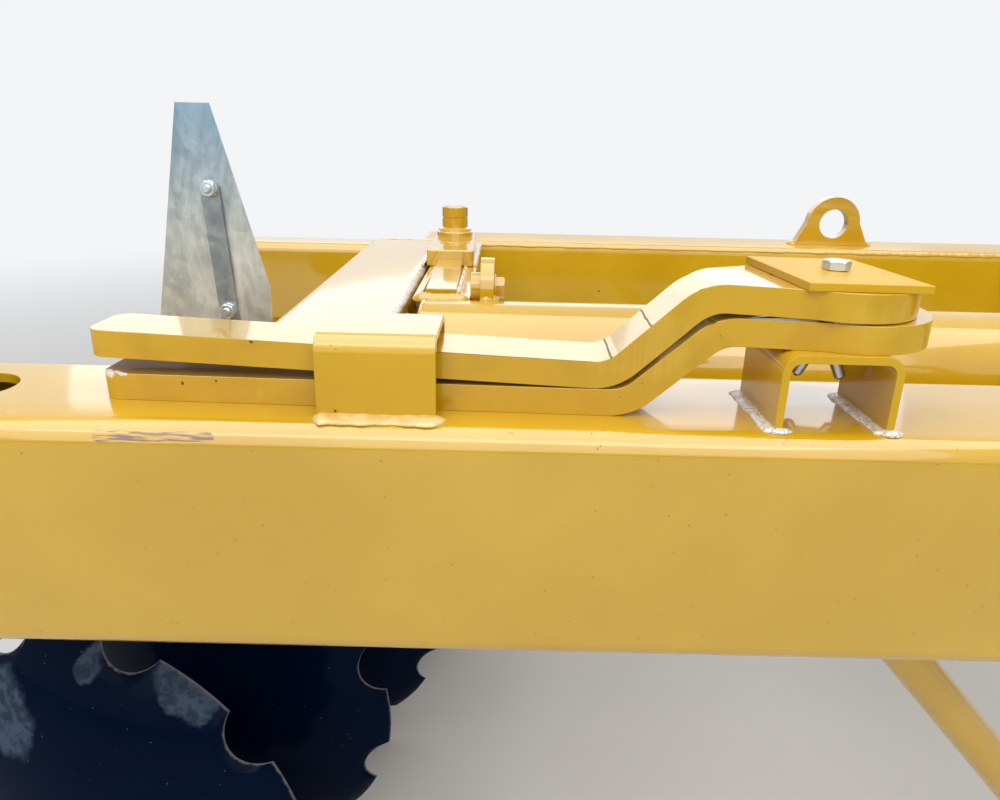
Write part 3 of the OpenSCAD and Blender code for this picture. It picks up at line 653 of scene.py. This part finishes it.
# %% Weld beads
POOL = 0.0052
ROWS_PER_POOL = 7
FILLET_ARC, SEAM_ARC = (-6.0, 96.0), (0.0, 180.0)
WIDE_BEAD, MID_BEAD, SLIM_BEAD, FINE_BEAD = 0.009, 0.008, 0.007, 0.006


def bead(start, end, leg_a, leg_b, size, seed, taper=1.2, arc=FILLET_ARC):
    """A bead along a straight corner; the legs' lengths stretch its section."""
    start, end = np.array(start, dtype=float), np.array(end, dtype=float)
    length = np.linalg.norm(end - start)
    s = np.linspace(0.0, length, max(8, int(length / POOL * ROWS_PER_POOL)))
    path = start + np.outer(s / length, end - start)
    return bead_along(path, s, leg_a, leg_b, size, seed, taper, arc)


def bead_along(path, s, leg_a, leg_b, size, seed, taper=1.2, arc=FILLET_ARC, closed=False):
    """width(s, t) = size * (1 + 0.025 * (1 - (2 f - 1)^2) + sway(s)) at length s and angle t.
    f is the fraction of s / POOL + cos(pi * (t - middle) / span) / 2, so the pools bow
    forward. sway is a sum of three sines whose phases come from the seed. Open ends narrow
    with the root of their distance over taper * size."""
    angles = np.radians(np.linspace(*arc, 11))
    bow = 0.5 * np.cos((angles - angles.mean()) * math.pi / np.ptp(angles))
    pool = (s[:, None] / POOL + bow) % 1.0
    sway = (0.07 * np.sin(s * 61.0 + seed) + 0.06 * np.sin(s * 143.0 + 2.0 * seed)
            + 0.035 * np.sin(s * 371.0 + 5.0 * seed))
    width = size * (1.0 + 0.025 * (1.0 - (2.0 * pool - 1.0) ** 2) + sway[:, None])
    if not closed:
        ends = np.minimum(s, s[-1] - s) / (taper * size)
        width = width * np.sqrt(np.clip(ends, 0.04, 1.0))[:, None]
    a, b = np.broadcast_to(leg_a, path.shape), np.broadcast_to(leg_b, path.shape)
    cosine, sine = np.cos(angles)[None, :, None], np.sin(angles)[None, :, None]
    outer = path[:, None] + width[:, :, None] * (cosine * a[:, None] + sine * b[:, None])
    depth = 1.0 if arc == FILLET_ARC else 0.4
    root = path[:, None] - 0.25 * size * (a + b)[:, None] * depth
    sections = np.concatenate([outer, root], axis=1)
    return looped(sections) if closed else swept(sections)


def ring_bead(centre, axis, radius, size, seed):
    """A fillet round a circle, with one leg outward and one along the axis."""
    axis = unit(axis)
    side = unit(np.cross(axis, (0.3, 0.5, 0.8)))
    other = np.cross(axis, side)
    count = int(2.0 * math.pi * radius / POOL * ROWS_PER_POOL)
    turn = np.radians(np.linspace(0.0, 360.0, count, endpoint=False))
    radial = np.outer(np.cos(turn), side) + np.outer(np.sin(turn), other)
    path = np.array(centre) + radius * radial
    return bead_along(path, radius * turn, radial, axis, size, seed, closed=True)


def seam(start, end, across, normal, size, seed):
    """A low bead that lies on a surface: half a circle pressed to 0.45 of its height."""
    return bead(start, end, unit(across), 0.45 * unit(normal), size, seed, arc=SEAM_ARC)


print("bead pools of", POOL * 1000, "mm")

# %% [markdown]
# The keeper and the stand are folded strap, tacked to the rail by beads at their feet. In
# the photograph the stand's beads run along the left face of each leg. These beads have
# enamel of their own, made paler by a painted reflection of the sky.

# %% Keeper and stand welds
STRAP_T = 0.0065
KEEPER_FRONT, KEEPER_REAR = 0.0085, 0.0075
STAND_SIDE, STAND_FRONT = 0.0070, 0.0055


def foot_bead(name, side, size, seed, right=0.003):
    """A flat bead along X at the foot of a node, on its front (-1) or rear (+1) face."""
    low, high = corners_of(name)
    y = low[1] if side < 0 else high[1]
    return bead((low[0] - 0.003, y, TOP), (high[0] + right, y, TOP), side * 1.6 * Y, 0.5 * Z,
                size, seed, 0.9)


keeper_parts = [foot_bead("wrench_keeper", -1, KEEPER_FRONT, 1, 0.008),
                foot_bead("wrench_keeper", 1, KEEPER_REAR, 2)]
add_piece("keeper_welds", joined("keeper_welds", keeper_parts), "yellow_paint",
          material=KEEPER_BEAD_SHEEN)
low, high = corners_of("wrench_stand")
stand_lines = [low[0], high[0] - STRAP_T]
side_parts = [bead((x, low[1] - 0.003, TOP), (x, high[1] + 0.003, TOP), -1.3 * X, 0.45 * Z,
                   STAND_SIDE, 3 + k, 0.5) for k, x in enumerate(stand_lines)]
front_parts = [bead((x - 0.006, low[1], TOP), (x + STRAP_T + 0.008, low[1], TOP), -Y, 0.6 * Z,
                    STAND_FRONT, 5 + k) for k, x in enumerate(stand_lines)]
add_piece("stand_welds", joined("stand_welds", side_parts + front_parts), "yellow_paint",
          material=STAND_BEAD_SHEEN)
print("beads at", [round(x, 3) for x in stand_lines])

# %% [markdown]
# The frame's tubes are folded channels welded along their length, so a low seam bead runs
# down the rounded edge of the left cross beam and of the far rail. Fillets close the beams
# where they meet the rails, the joint flanges and the far rail's nose.

# %% Frame welds
EDGE_IN, EDGE_DROP = 0.0075, 0.0045
EDGE_LEAN = math.radians(39.0)
EDGE_SEAM, TOP_SEAM = 0.0075, 0.010
SEAM_IN, SIDE_IN, CORNER_IN = 0.010, 0.015, 0.016


def cross_seams(name, seed):
    """Fillets where a cross beam's sides and top meet both rails."""
    low, high = corners_of(name)
    parts = []
    for y, way in ((low[1], 1.0), (high[1], -1.0)):
        for x, out in ((low[0], -1.0), (high[0], 1.0)):
            parts.append(bead((x, y, low[2] + SIDE_IN), (x, y, high[2] - SIDE_IN), out * X,
                              way * Y, WIDE_BEAD, seed))
        on_rail = y - way * 0.006
        parts.append(seam((low[0] + SEAM_IN, on_rail, TOP - 0.003),
                          (high[0] - SEAM_IN, on_rail, TOP - 0.003), Y, Z, TOP_SEAM, seed))
    return parts


low, high = corners_of("cross_beam_left")
lean = math.sin(EDGE_LEAN), math.cos(EDGE_LEAN)
cross_seam = seam((high[0] - EDGE_IN, low[1] + SEAM_IN, TOP - EDGE_DROP),
                  (high[0] - EDGE_IN, high[1] - SEAM_IN, TOP - EDGE_DROP),
                  (lean[1], 0.0, -lean[0]), (lean[0], 0.0, lean[1]), EDGE_SEAM, 7)
# The seam takes the stand beads' enamel, with its painted reflection.
add_piece("cross_seam", joined("cross_seam", [cross_seam]), "yellow_paint", material=STAND_BEAD_SHEEN)
far_low, far_high = corners_of("far_rail")
frame_parts = [seam((far_low[0] + SEAM_IN, far_low[1] + EDGE_IN, TOP - EDGE_DROP),
                    (far_high[0], far_low[1] + EDGE_IN, TOP - EDGE_DROP),
                    (0.0, -lean[1], -lean[0]), (0.0, -lean[0], lean[1]), EDGE_SEAM, 8)]
for seed, name in enumerate(("cross_beam_left", "cross_beam_right")):
    frame_parts += cross_seams(name, 11 + seed)
for rail in ("near_rail", "far_rail"):
    low, high = corners_of(rail)
    for z, way in ((low[2], -1.0), (high[2], 1.0)):
        frame_parts.append(bead((high[0], low[1] + CORNER_IN, z),
                                (high[0], high[1] - CORNER_IN, z), -X, way * Z, WIDE_BEAD, 15))
    for y, way in ((low[1], -1.0), (high[1], 1.0)):
        frame_parts.append(bead((high[0], y, low[2] + CORNER_IN),
                                (high[0], y, high[2] - CORNER_IN), -X, way * Y, WIDE_BEAD, 16))
low, high = corners_of("far_nose")
upper, rear = (low[1], high[2]), (high[1], high[2])
lower, front = (high[1], low[2]), (low[1], low[2])
for start, end, out in ((upper, rear, Z), (lower, rear, Y), (front, lower, -Z)):
    frame_parts.append(bead((high[0], *start), (high[0], *end), -X, out, MID_BEAD, 18))
add_piece("frame_welds", joined("frame_welds", frame_parts), "yellow_paint")
print("frame beads", len(frame_parts))

# %% [markdown]
# The centre tube is closed by a plate at its left end and stands off the cross beam on a
# short stub, so its round beads can be seen from the front. The pivot's arm, strap and
# block, the tube's lug and the lifting eyes are welded along their feet.

# %% Tube, arm and eye welds
STRAP_BEAD, BLOCK_BEAD = 0.0065, 0.0055
LUG_ROWS = 90


def on_tube(x):
    return (x, tube_mid[1], tube_mid[2])


def front_bead(name, drop, size, seed):
    """A bead along X at the top of a node's front face, a little below the rail's top."""
    low, high = corners_of(name)
    return bead((low[0], low[1], TOP - drop), (high[0], low[1], TOP - drop), -Y, Z, size, seed)


def side_beads(name, over, reach, rise, size, seed):
    """Beads along Y at the feet of both side faces; over is how far they run past them."""
    low, high = corners_of(name)
    return [bead((x, low[1] - over, TOP), (x, high[1] + over, TOP), out * reach * X, rise * Z,
                 size, seed) for x, out in ((low[0], -1.0), (high[0], 1.0))]


low, high = corners_of("centre_tube")
tube_r = (high[2] - low[2]) / 2.0
tube_mid = (low + high) / 2.0
stub_low, stub_high = corners_of("tube_stub")
stub_r = (stub_high[2] - stub_low[2]) / 2.0
tube_parts = [
    ring_bead(on_tube(low[0] + 0.001), -X, tube_r - 0.005, FINE_BEAD, 21),
    ring_bead(on_tube(stub_low[0]), X, stub_r, MID_BEAD, 22),
    ring_bead(on_tube(stub_high[0]), -X, stub_r, MID_BEAD, 23),
    ring_bead(on_tube(high[0]), -X, tube_r, WIDE_BEAD, 24),
    front_bead("pivot_arm", 0.003, WIDE_BEAD, 25),
]
tube_parts += side_beads("pivot_strap", 0.0, 0.8, 1.0, STRAP_BEAD, 26)
tube_parts += side_beads("pivot_block", 0.0, 0.8, 0.6, BLOCK_BEAD, 26)
arc = np.radians(np.linspace(6.0, 62.0, LUG_ROWS))
radial = np.stack([np.zeros(LUG_ROWS), np.sin(arc), np.cos(arc)], -1)
lug_path = np.array(on_tube(corners_of("tube_lug")[1][0])) + tube_r * radial
tube_parts.append(bead_along(lug_path, tube_r * (arc - arc[0]), X, radial, MID_BEAD, 28))
tube_parts.append(front_bead("tube_lug", 0.001, MID_BEAD, 29))
add_piece("tube_welds", joined("tube_welds", tube_parts), "yellow_paint")
eye_parts = []
for name in ("lifting_eye_near", "lifting_eye_far"):
    low, high = corners_of(name)
    eye_parts.append(bead((low[0], high[1], TOP), (high[0], high[1], TOP), Y, Z, SLIM_BEAD, 32))
    eye_parts += side_beads(name, 0.004, 1.2, 0.8, WIDE_BEAD, 33)
add_piece("eye_welds", joined("eye_welds", eye_parts), "yellow_paint")
print("tube beads", len(tube_parts), "eye beads", len(eye_parts))

# %% [markdown]
# Each disc is dished and notched. A section runs from the bore out over the round back to
# the edge and returns inside; it is repeated round the axis, and its outer end follows the
# notches. The last nine millimetres thin down to a sharpened edge, which the second UV value
# marks so that the shader can show bare steel there. Round the bore the disc is flat.

# %% Discs
DISC_R, DISH, DISC_T = 0.305, 0.086, 0.006
NOTCHES, NOTCH_R, NOTCH_OUT = 10, 0.048, 0.020
DISC_TURNS = (32.5, 17.0, 20.0, 16.0, 30.0)
DISC_PITCH = 0.267
BORE_R, EDGE_L, EDGE_T, HUB_STEP = 0.020, 0.009, 0.0015, 0.0026
HUB_T = DISC_T + HUB_STEP
INNER_RINGS = np.array([BORE_R, 0.035, 0.050, 0.060, 0.085, 0.120, 0.160, 0.200])
OUTER_SHARES = np.array([0.3, 0.6, 0.85, 1.0])
FLAT_RINGS = 3
BALL_R = (DISC_R ** 2 + DISH ** 2) / (2.0 * DISH)
gang_joint = frame["record"]["behaviour"]["joints"][0]
GANG_AXIS = unit(gang_joint["axis"])
GANG_SIDE = np.array([GANG_AXIS[1], -GANG_AXIS[0], 0.0])
GANG_AT = np.array(gang_joint["pos_m"])


def gang_point(side, along, up):
    """Points from lengths across, along and above the gang's axis, as arrays or numbers."""
    side, along, up = np.broadcast_arrays(side, along, up)
    return GANG_AT + side[..., None] * GANG_SIDE + along[..., None] * GANG_AXIS + up[..., None] * Z


def edge_radii():
    """Angles round one disc and its edge radius R(d) = c cos d - sqrt(n^2 - c^2 sin^2 d)."""
    centre = DISC_R + NOTCH_OUT
    half = math.acos((centre ** 2 + DISC_R ** 2 - NOTCH_R ** 2) / (2.0 * centre * DISC_R))
    inside = half * np.sin(np.linspace(-0.5, 0.5, 19) * math.pi)
    gap = 2.0 * math.pi / NOTCHES
    tooth = np.linspace(half, gap - half, 11)[1:-1]
    root = np.sqrt(np.clip(NOTCH_R ** 2 - (centre * np.sin(inside)) ** 2, 0.0, None))
    radii = np.concatenate([centre * np.cos(inside) - root, np.full(9, DISC_R)])
    starts = gap * np.arange(NOTCHES)
    return (starts[:, None] + np.concatenate([inside, tooth])).ravel(), np.tile(radii, NOTCHES)


def disc_body(along, turn):
    """Back z = DISH - B + sqrt(B^2 - r^2), where B is the ball's radius; the inside has the
    same centre and a radius less by the steel. Gives the body and its UV pairs."""
    theta, edge = edge_radii()
    last = INNER_RINGS[-1]
    inner = np.broadcast_to(INNER_RINGS, (len(edge), len(INNER_RINGS)))
    outer = last + OUTER_SHARES * (edge[:, None] - EDGE_L - last)
    r = np.concatenate([inner, outer, edge[:, None]], axis=1)
    back = DISH - BALL_R + np.sqrt(BALL_R ** 2 - r ** 2)
    face = DISH - BALL_R + np.sqrt((BALL_R - DISC_T) ** 2 - r ** 2)
    back[:, :FLAT_RINGS] = DISH
    face[:, :FLAT_RINGS] = DISH - DISC_T - HUB_STEP
    back[:, -1] = face[:, -1] + EDGE_T
    ring_r = np.concatenate([r, r[:, ::-1]], axis=1)
    ring_z = np.concatenate([back, face[:, ::-1]], axis=1)
    worn = np.zeros_like(ring_r)
    worn[:, r.shape[1] - 1:r.shape[1] + 1] = 1.0
    angle = (theta + math.radians(turn))[:, None]
    sections = gang_point(ring_r * np.cos(angle), along - ring_z, -ring_r * np.sin(angle))
    uv = np.stack([np.broadcast_to(angle, ring_r.shape), worn], -1).reshape(-1, 2)
    return looped(sections), uv


for k, turn in enumerate(DISC_TURNS):
    body, uv = disc_body(k * DISC_PITCH, turn)
    rebuilt(f"disc_{k + 1}", [body], 28.0, uv)
print("discs", len(DISC_TURNS), "ball radius", round(BALL_R, 4))

# %% [markdown]
# Fasteners are turned about their axis from a profile of radii and heights. For a hexagon
# the radius is also cut at the flats, so the chamfer's cone meets them in the curved line
# that every real bolt head shows.

# %% Turned parts
def turned(profile, origin, axis, flats=0.0, side=(0.3, 0.5, 0.8), cols=48):
    """r(t) = min(profile r, (flats / 2) / cos(angle to the nearest flat)) round the axis."""
    axis = unit(axis)
    first = unit(np.array(side) - np.dot(side, axis) * axis)
    second = np.cross(axis, first)
    turn = np.linspace(0.0, 2.0 * math.pi, cols, endpoint=False)
    radii, heights = np.array(profile, dtype=float).T
    rings = np.repeat(radii[:, None], cols, axis=1)
    if flats:
        nearest = (turn + math.pi / 6.0) % (math.pi / 3.0) - math.pi / 6.0
        rings = np.minimum(rings, 0.5 * flats / np.cos(nearest))
    ring = np.cos(turn)[:, None] * first + np.sin(turn)[:, None] * second
    return swept(np.array(origin) + rings[..., None] * ring + (heights[:, None] * axis)[:, None])


def hex_profile(flats, height, both=False):
    """A hexagon's outline with a 30 degree chamfer on its top, or on both faces."""
    corner, top = 0.58 * flats, 0.47 * flats
    drop = (corner - top) * math.tan(math.radians(30.0))
    rise = [(top + (corner - top) * t, height - drop * t) for t in (0.0, 0.25, 0.5, 0.75, 1.0)]
    low = [(r, height - h) for r, h in rise] if both else [(corner, 0.0)]
    return low + rise[::-1]


def ridges(crest, depth, start, step, count):
    """A thread's profile: the radius alternates between the crest and the root."""
    return [(crest - depth * (k % 2), start + step * k) for k in range(count)]


print("turned parts ready")

# %% [markdown]
# One bolt clamps the wrenches. Its head shows on top of the cover plate, its thread shows
# between the stand's legs, and a wing nut holds it there. The nut's prongs hang beside the
# thread; each is an ellipse that moves along a slanted line and closes to a round tip.

# %% Retaining bolt and wing nut
HEAD_AF, HEAD_H, BOLT_R, SEAT = 0.020, 0.008, 0.0065, 0.0006
HUB_H = 0.014
WING_TURN = math.radians(-14.0)
PRONG_ROWS, PRONG_COLS = 14, 20

low, high = corners_of("retaining_bolt")
mid = 0.5 * (low + high)
head_z = high[2] - HEAD_H
head = turned(hex_profile(HEAD_AF, HEAD_H - SEAT), (mid[0], mid[1], head_z + SEAT), Z, HEAD_AF,
              (0.3, 1.0, 0.0))
seat_ring = turned([(0.0094, 0.0), (0.0094, 0.0007)], (mid[0], mid[1], head_z), Z)
shank_profile = ([(BOLT_R - 0.0014, 0.0)] + ridges(BOLT_R, 0.0008, 0.0012, 0.0009, 33)
                 + [(BOLT_R, head_z - low[2])])
shank = turned(shank_profile, (mid[0], mid[1], low[2]), Z)
rebuilt("retaining_bolt", [head, seat_ring, shank])


def prong(hub, way):
    """reach = 6.8 + 12.2 t, drop = 5 + 28.5 t and half width = 5.8 - t in mm for t from 0 to
    1; both half widths shrink with sqrt(14 (1.01 - t)) near the tip."""
    wing_way = np.array([math.cos(WING_TURN), math.sin(WING_TURN), 0.0])
    wing_flat = np.cross(Z, wing_way)
    t = np.linspace(0.0, 1.0, PRONG_ROWS)
    tip = np.sqrt(np.clip((1.01 - t) * 14.0, 0.0, 1.0))
    reach = 0.0068 + 0.0122 * t
    fall = -0.0050 - 0.0285 * t
    broad, thick = (0.0058 - 0.0010 * t) * tip, 0.0036 * tip
    spine = hub + way * reach[:, None] * wing_way + fall[:, None] * Z
    along = np.gradient(spine, axis=0)
    along /= np.linalg.norm(along, axis=1)[:, None]
    across = np.cross(along, wing_flat)
    ring = np.linspace(0.0, 2.0 * math.pi, PRONG_COLS, endpoint=False)[None, :, None]
    return swept(spine[:, None] + broad[:, None, None] * np.cos(ring) * across[:, None]
                 + thick[:, None, None] * np.sin(ring) * wing_flat)


low, high = corners_of("wing_nut")
hub = np.array([0.5 * (low[0] + high[0]), 0.5 * (low[1] + high[1]), high[2]])
hub_profile = [(0.0080, -HUB_H), (0.0094, -HUB_H + 0.0012), (0.0112, -0.003),
               (0.0118, -0.0008), (0.0112, 0.0)]
rebuilt("wing_nut", [turned(hub_profile, hub, Z), prong(hub, -1.0), prong(hub, 1.0)], 40.0)
print("bolt head at", [round(float(c), 4) for c in (mid[0], mid[1], head_z)])

# %% [markdown]
# The shield's two bolts show their nuts and thread ends to the front, each nut on a washer.
# The lug's bolt has been painted over. The gang's shaft ends in two large nuts.

# %% Other bolts and nuts
NUT_AF, NUT_T, NUT_IN = 0.017, 0.0065, (0.0098, 0.0085)
SHIELD_WASHER = [(0.0094, 0.0), (0.0097, 0.0003), (0.0097, 0.0012), (0.0094, 0.0015)]
LUG_WASHER = [(0.0180, 0.0), (0.0186, 0.0005), (0.0186, 0.0022), (0.0180, 0.0027)]
LUG_BOLT_R, LUG_HEAD_T = 0.0100, 0.0123
GANG_NUT_AF, GANG_NUT_T, GANG_GAP = 0.066, 0.030, 0.0002
GANG_WASHER_T = 0.020

low, high = corners_of("shield_bolts")
parts = []
for x, z in ((high[0] - NUT_IN[0], low[2] + NUT_IN[1]), (low[0] + NUT_IN[0], high[2] - NUT_IN[1])):
    root = np.array([x, high[1], z])
    parts.append(turned(SHIELD_WASHER, root, -Y))
    parts.append(turned(hex_profile(NUT_AF, NUT_T), root - SHIELD_WASHER[-1][1] * Y, -Y, NUT_AF,
                        (1.0, 0.0, 0.2)))
    parts.append(turned(ridges(0.0048, 0.0006, 0.0, 0.0007, 16) + [(0.0036, 0.0118)], root, -Y))
rebuilt("shield_bolts", parts)

low, high = corners_of("lug_bolt")
mid = 0.5 * (low + high)
lug_af = 2.0 * (high[1] - mid[1])
bolt_x = high[0] - 0.015
rebuilt("lug_bolt", [
    turned([(LUG_BOLT_R, 0.0), (LUG_BOLT_R, bolt_x - low[0])], (low[0], mid[1], mid[2]), X),
    turned(LUG_WASHER, (bolt_x, mid[1], mid[2]), X),
    turned(hex_profile(lug_af, LUG_HEAD_T), (bolt_x + LUG_WASHER[-1][1], mid[1], mid[2]), X,
           lug_af, (0.0, 1.0, 0.15))])

nut_ends = (-DISH - GANG_WASHER_T - GANG_NUT_T - GANG_GAP,
            (len(DISC_TURNS) - 1) * DISC_PITCH - DISH + HUB_T + GANG_WASHER_T + GANG_GAP)
gang_nut = hex_profile(GANG_NUT_AF, GANG_NUT_T, True)
rebuilt("gang_nuts", [turned(gang_nut, gang_point(0.0, along, 0.0), GANG_AXIS, GANG_NUT_AF,
                             GANG_SIDE) for along in nut_ends])
print("lug bolt across flats", round(float(lug_af), 4))

# %% [markdown]
# Both pins are turned in one piece. The brace's pin has a groove near its front end. The
# pivot's pin rises from a flange, with a ring of weld at its foot and a groove halfway up.

# %% Pins
PIN_R, COLLAR_H = 0.024, 0.040
low, high = corners_of("brace_pin")
pin_r, pin_l = 0.5 * (high[2] - low[2]), high[1] - low[1]
groove_r = pin_r - 0.0015
brace_profile = [(pin_r - 0.002, 0.0), (pin_r, 0.002), (pin_r, 0.007), (groove_r, 0.0078),
                 (groove_r, 0.0100), (pin_r, 0.0108), (pin_r, pin_l - 0.002),
                 (pin_r - 0.002, pin_l)]
mid = 0.5 * (low + high)
rebuilt("brace_pin", [turned(brace_profile, (mid[0], low[1], mid[2]), Y)])
low, high = corners_of("pivot_pin")
mid = 0.5 * (low + high)
flange_r, tall = 0.5 * (high[0] - low[0]), high[2] - low[2]
base, groove_r = tall - COLLAR_H, PIN_R - 0.0012
pivot_profile = [(flange_r, 0.0), (flange_r, base - 0.008), (flange_r - 0.0015, base - 0.0065),
                 (PIN_R + 0.0075, base - 0.006), (PIN_R + 0.0065, base - 0.002),
                 (PIN_R + 0.003, base), (PIN_R, base + 0.001), (PIN_R, base + 0.0175),
                 (groove_r, base + 0.0183), (groove_r, base + 0.0195), (PIN_R, base + 0.0203),
                 (PIN_R, tall - 0.0025), (PIN_R - 0.0025, tall)]
rebuilt("pivot_pin", [turned(pivot_profile, (mid[0], mid[1], low[2]), Z, cols=64)])
print("pivot pin at", [round(float(c), 4) for c in mid])

# %% [markdown]
# The gang hangs from its square beam. The beam's pads are welded to the rails' undersides,
# the hangers to the beam, and the brace's lugs and the shield's tab to their rails.

# %% Gang, brace and shield welds
PAD_HALF, HANGER_S, HANGER_T, BEAM_HALF = 0.065, 0.090, 0.040, 0.036
NEAR_PAD, FAR_PAD, LUG_PLATE = 0.023, 0.048, 0.012
beam_low = corners_of("gang_beam")[0]
parts = []
for k in (1, 3):
    for way in (-1.0, 1.0):
        along = k * DISC_PITCH + HANGER_S + way * HANGER_T / 2.0
        ends = gang_point(np.array([-BEAM_HALF, BEAM_HALF]), along, beam_low[2] - GANG_AT[2])
        parts.append(bead(ends[0], ends[1], way * GANG_AXIS, -Z, SLIM_BEAD, 41 + k))
pad_low, pad_high = corners_of("gang_pads")
lean_x = GANG_AXIS[0] / GANG_AXIS[1]
for middle, half, rail in ((pad_low[1] + NEAR_PAD, NEAR_PAD, "near_rail"),
                           (pad_high[1] - FAR_PAD, FAR_PAD, "far_nose")):
    x = GANG_AT[0] + (middle - GANG_AT[1]) * lean_x
    z = corners_of(rail)[0][2]
    for way in (-1.0, 1.0):
        y = middle + way * half
        parts.append(bead((x - PAD_HALF, y, z), (x + PAD_HALF, y, z), way * Y, -Z, SLIM_BEAD, 45))
        side = x + way * PAD_HALF
        parts.append(bead((side, middle - half, z), (side, middle + half, z), way * X, -Z,
                          SLIM_BEAD, 47))
low, high = corners_of("brace_lugs")
for z, way in ((high[2], 1.0), (high[2] - LUG_PLATE, -1.0)):
    parts.append(bead((low[0], low[1], z), (high[0], low[1], z), Y, way * Z, SLIM_BEAD, 49))
low, high = corners_of("shield_tab")
for z, way in ((high[2], 1.0), (low[2], -1.0)):
    parts.append(bead((high[0], low[1], z), (high[0], high[1], z), -X, way * Z, FINE_BEAD, 51))
add_piece("under_welds", joined("under_welds", parts), "yellow_paint")
print("lower beads", len(parts))

# %% [markdown]
# The floor is pale and carries the discs. Far from the bay it fades into the backdrop's own
# tone, so that no horizon shows; Light Path's camera ray keeps that fade out of the light.

# %% Floor
FLOOR_Z = cad_box[0][2]
FLOOR_HALF = 30.0
FLOOR_TONE = (0.60, 0.60, 0.59)
BACKDROP = (0.90, 0.91, 0.92)
FADE_FROM, FADE_TO = 2.5, 9.0
floor_mesh = bpy.data.meshes.new("floor")
corners = [(x * FLOOR_HALF, y * FLOOR_HALF, FLOOR_Z)
           for x, y in ((-1, -1), (1, -1), (1, 1), (-1, 1))]
floor_mesh.from_pydata(corners, [], [(0, 1, 2, 3)])
floor = bpy.data.objects.new("floor", floor_mesh)
bpy.context.scene.collection.objects.link(floor)
floor_paint, floor_place, floor_shader = new_material(
    "floor_paint", Roughness=0.9, Base_Color=FLOOR_TONE)
reach = vector_math(floor_place, "LENGTH", 1, Vector=floor_place)
glow = floor_place.node("ShaderNodeEmission", Color=BACKDROP)
seen = floor_place.node("ShaderNodeLightPath", output="Is Camera Ray")
fade = reach.smooth(FADE_FROM, FADE_TO) * seen
surface = floor_place.node("ShaderNodeMixShader", Fac=fade, i2=glow,
                           i1=Field(floor_place.tree, floor_shader.outputs[0]))
plug(floor_place.tree, surface, floor_place.tree.nodes["Material Output"].inputs["Surface"])
floor_mesh.materials.append(floor_paint)
print("floor at", round(FLOOR_Z, 4))

# %% [markdown]
# The light is plain and soft, as under a bright overcast sky. A wide lamp stands behind the
# bay, where the level faces mirror it to the low camera. A broad lamp hangs overhead, a
# broad lamp stands in front, and a dim even world fills the shadows. Camera rays and glossy
# rays see the pale backdrop instead of that dim fill.

# %% Light
WORLD_FILL = 0.22
LAMPS = (
    ("lamp_back", (-1.5, 6.2, 2.2), (-1.4, 0.3, 0.1), (8.0, 2.0), 46.0),
    ("lamp_high", (-1.4, -1.0, 4.4), (-1.3, -0.6, 0.0), (7.0, 7.0), 350.0),
    ("lamp_front", (-1.6, -5.6, 3.3), (-1.4, -0.1, 0.0), (9.0, 6.4), 232.0),
)
world = bpy.data.worlds.new("studio")
bpy.context.scene.world = world
world.use_nodes = True
sky = world.node_tree.nodes["Background"]
path = world.node_tree.nodes.new("ShaderNodeLightPath")
shown = strongest([Field(world.node_tree, path.outputs[ray])
                   for ray in ("Is Camera Ray", "Is Glossy Ray")])
plug(world.node_tree, mix_colour(shown, (WORLD_FILL,) * 3, BACKDROP), sky.inputs["Color"])
sky.inputs["Strength"].default_value = 1.0


def add_lamp(name, place, target, size, watts):
    """A soft oblong lamp at place that faces target."""
    lamp = bpy.data.objects.new(name, bpy.data.lights.new(name, "AREA"))
    lamp.data.shape = "RECTANGLE"
    lamp.data.size, lamp.data.size_y = size
    lamp.data.energy = watts
    z_axis = unit(np.array(place) - np.array(target))
    x_axis = unit(np.cross(Z, z_axis))
    y_axis = np.cross(z_axis, x_axis)
    rows = np.column_stack([x_axis, y_axis, z_axis, place]).tolist()
    lamp.matrix_world = Matrix(rows + [(0, 0, 0, 1)])
    bpy.context.scene.collection.objects.link(lamp)


for lamp_row in LAMPS:
    add_lamp(*lamp_row)
bpy.context.scene.view_settings.view_transform = "Standard"
print("lamps", len(LAMPS))
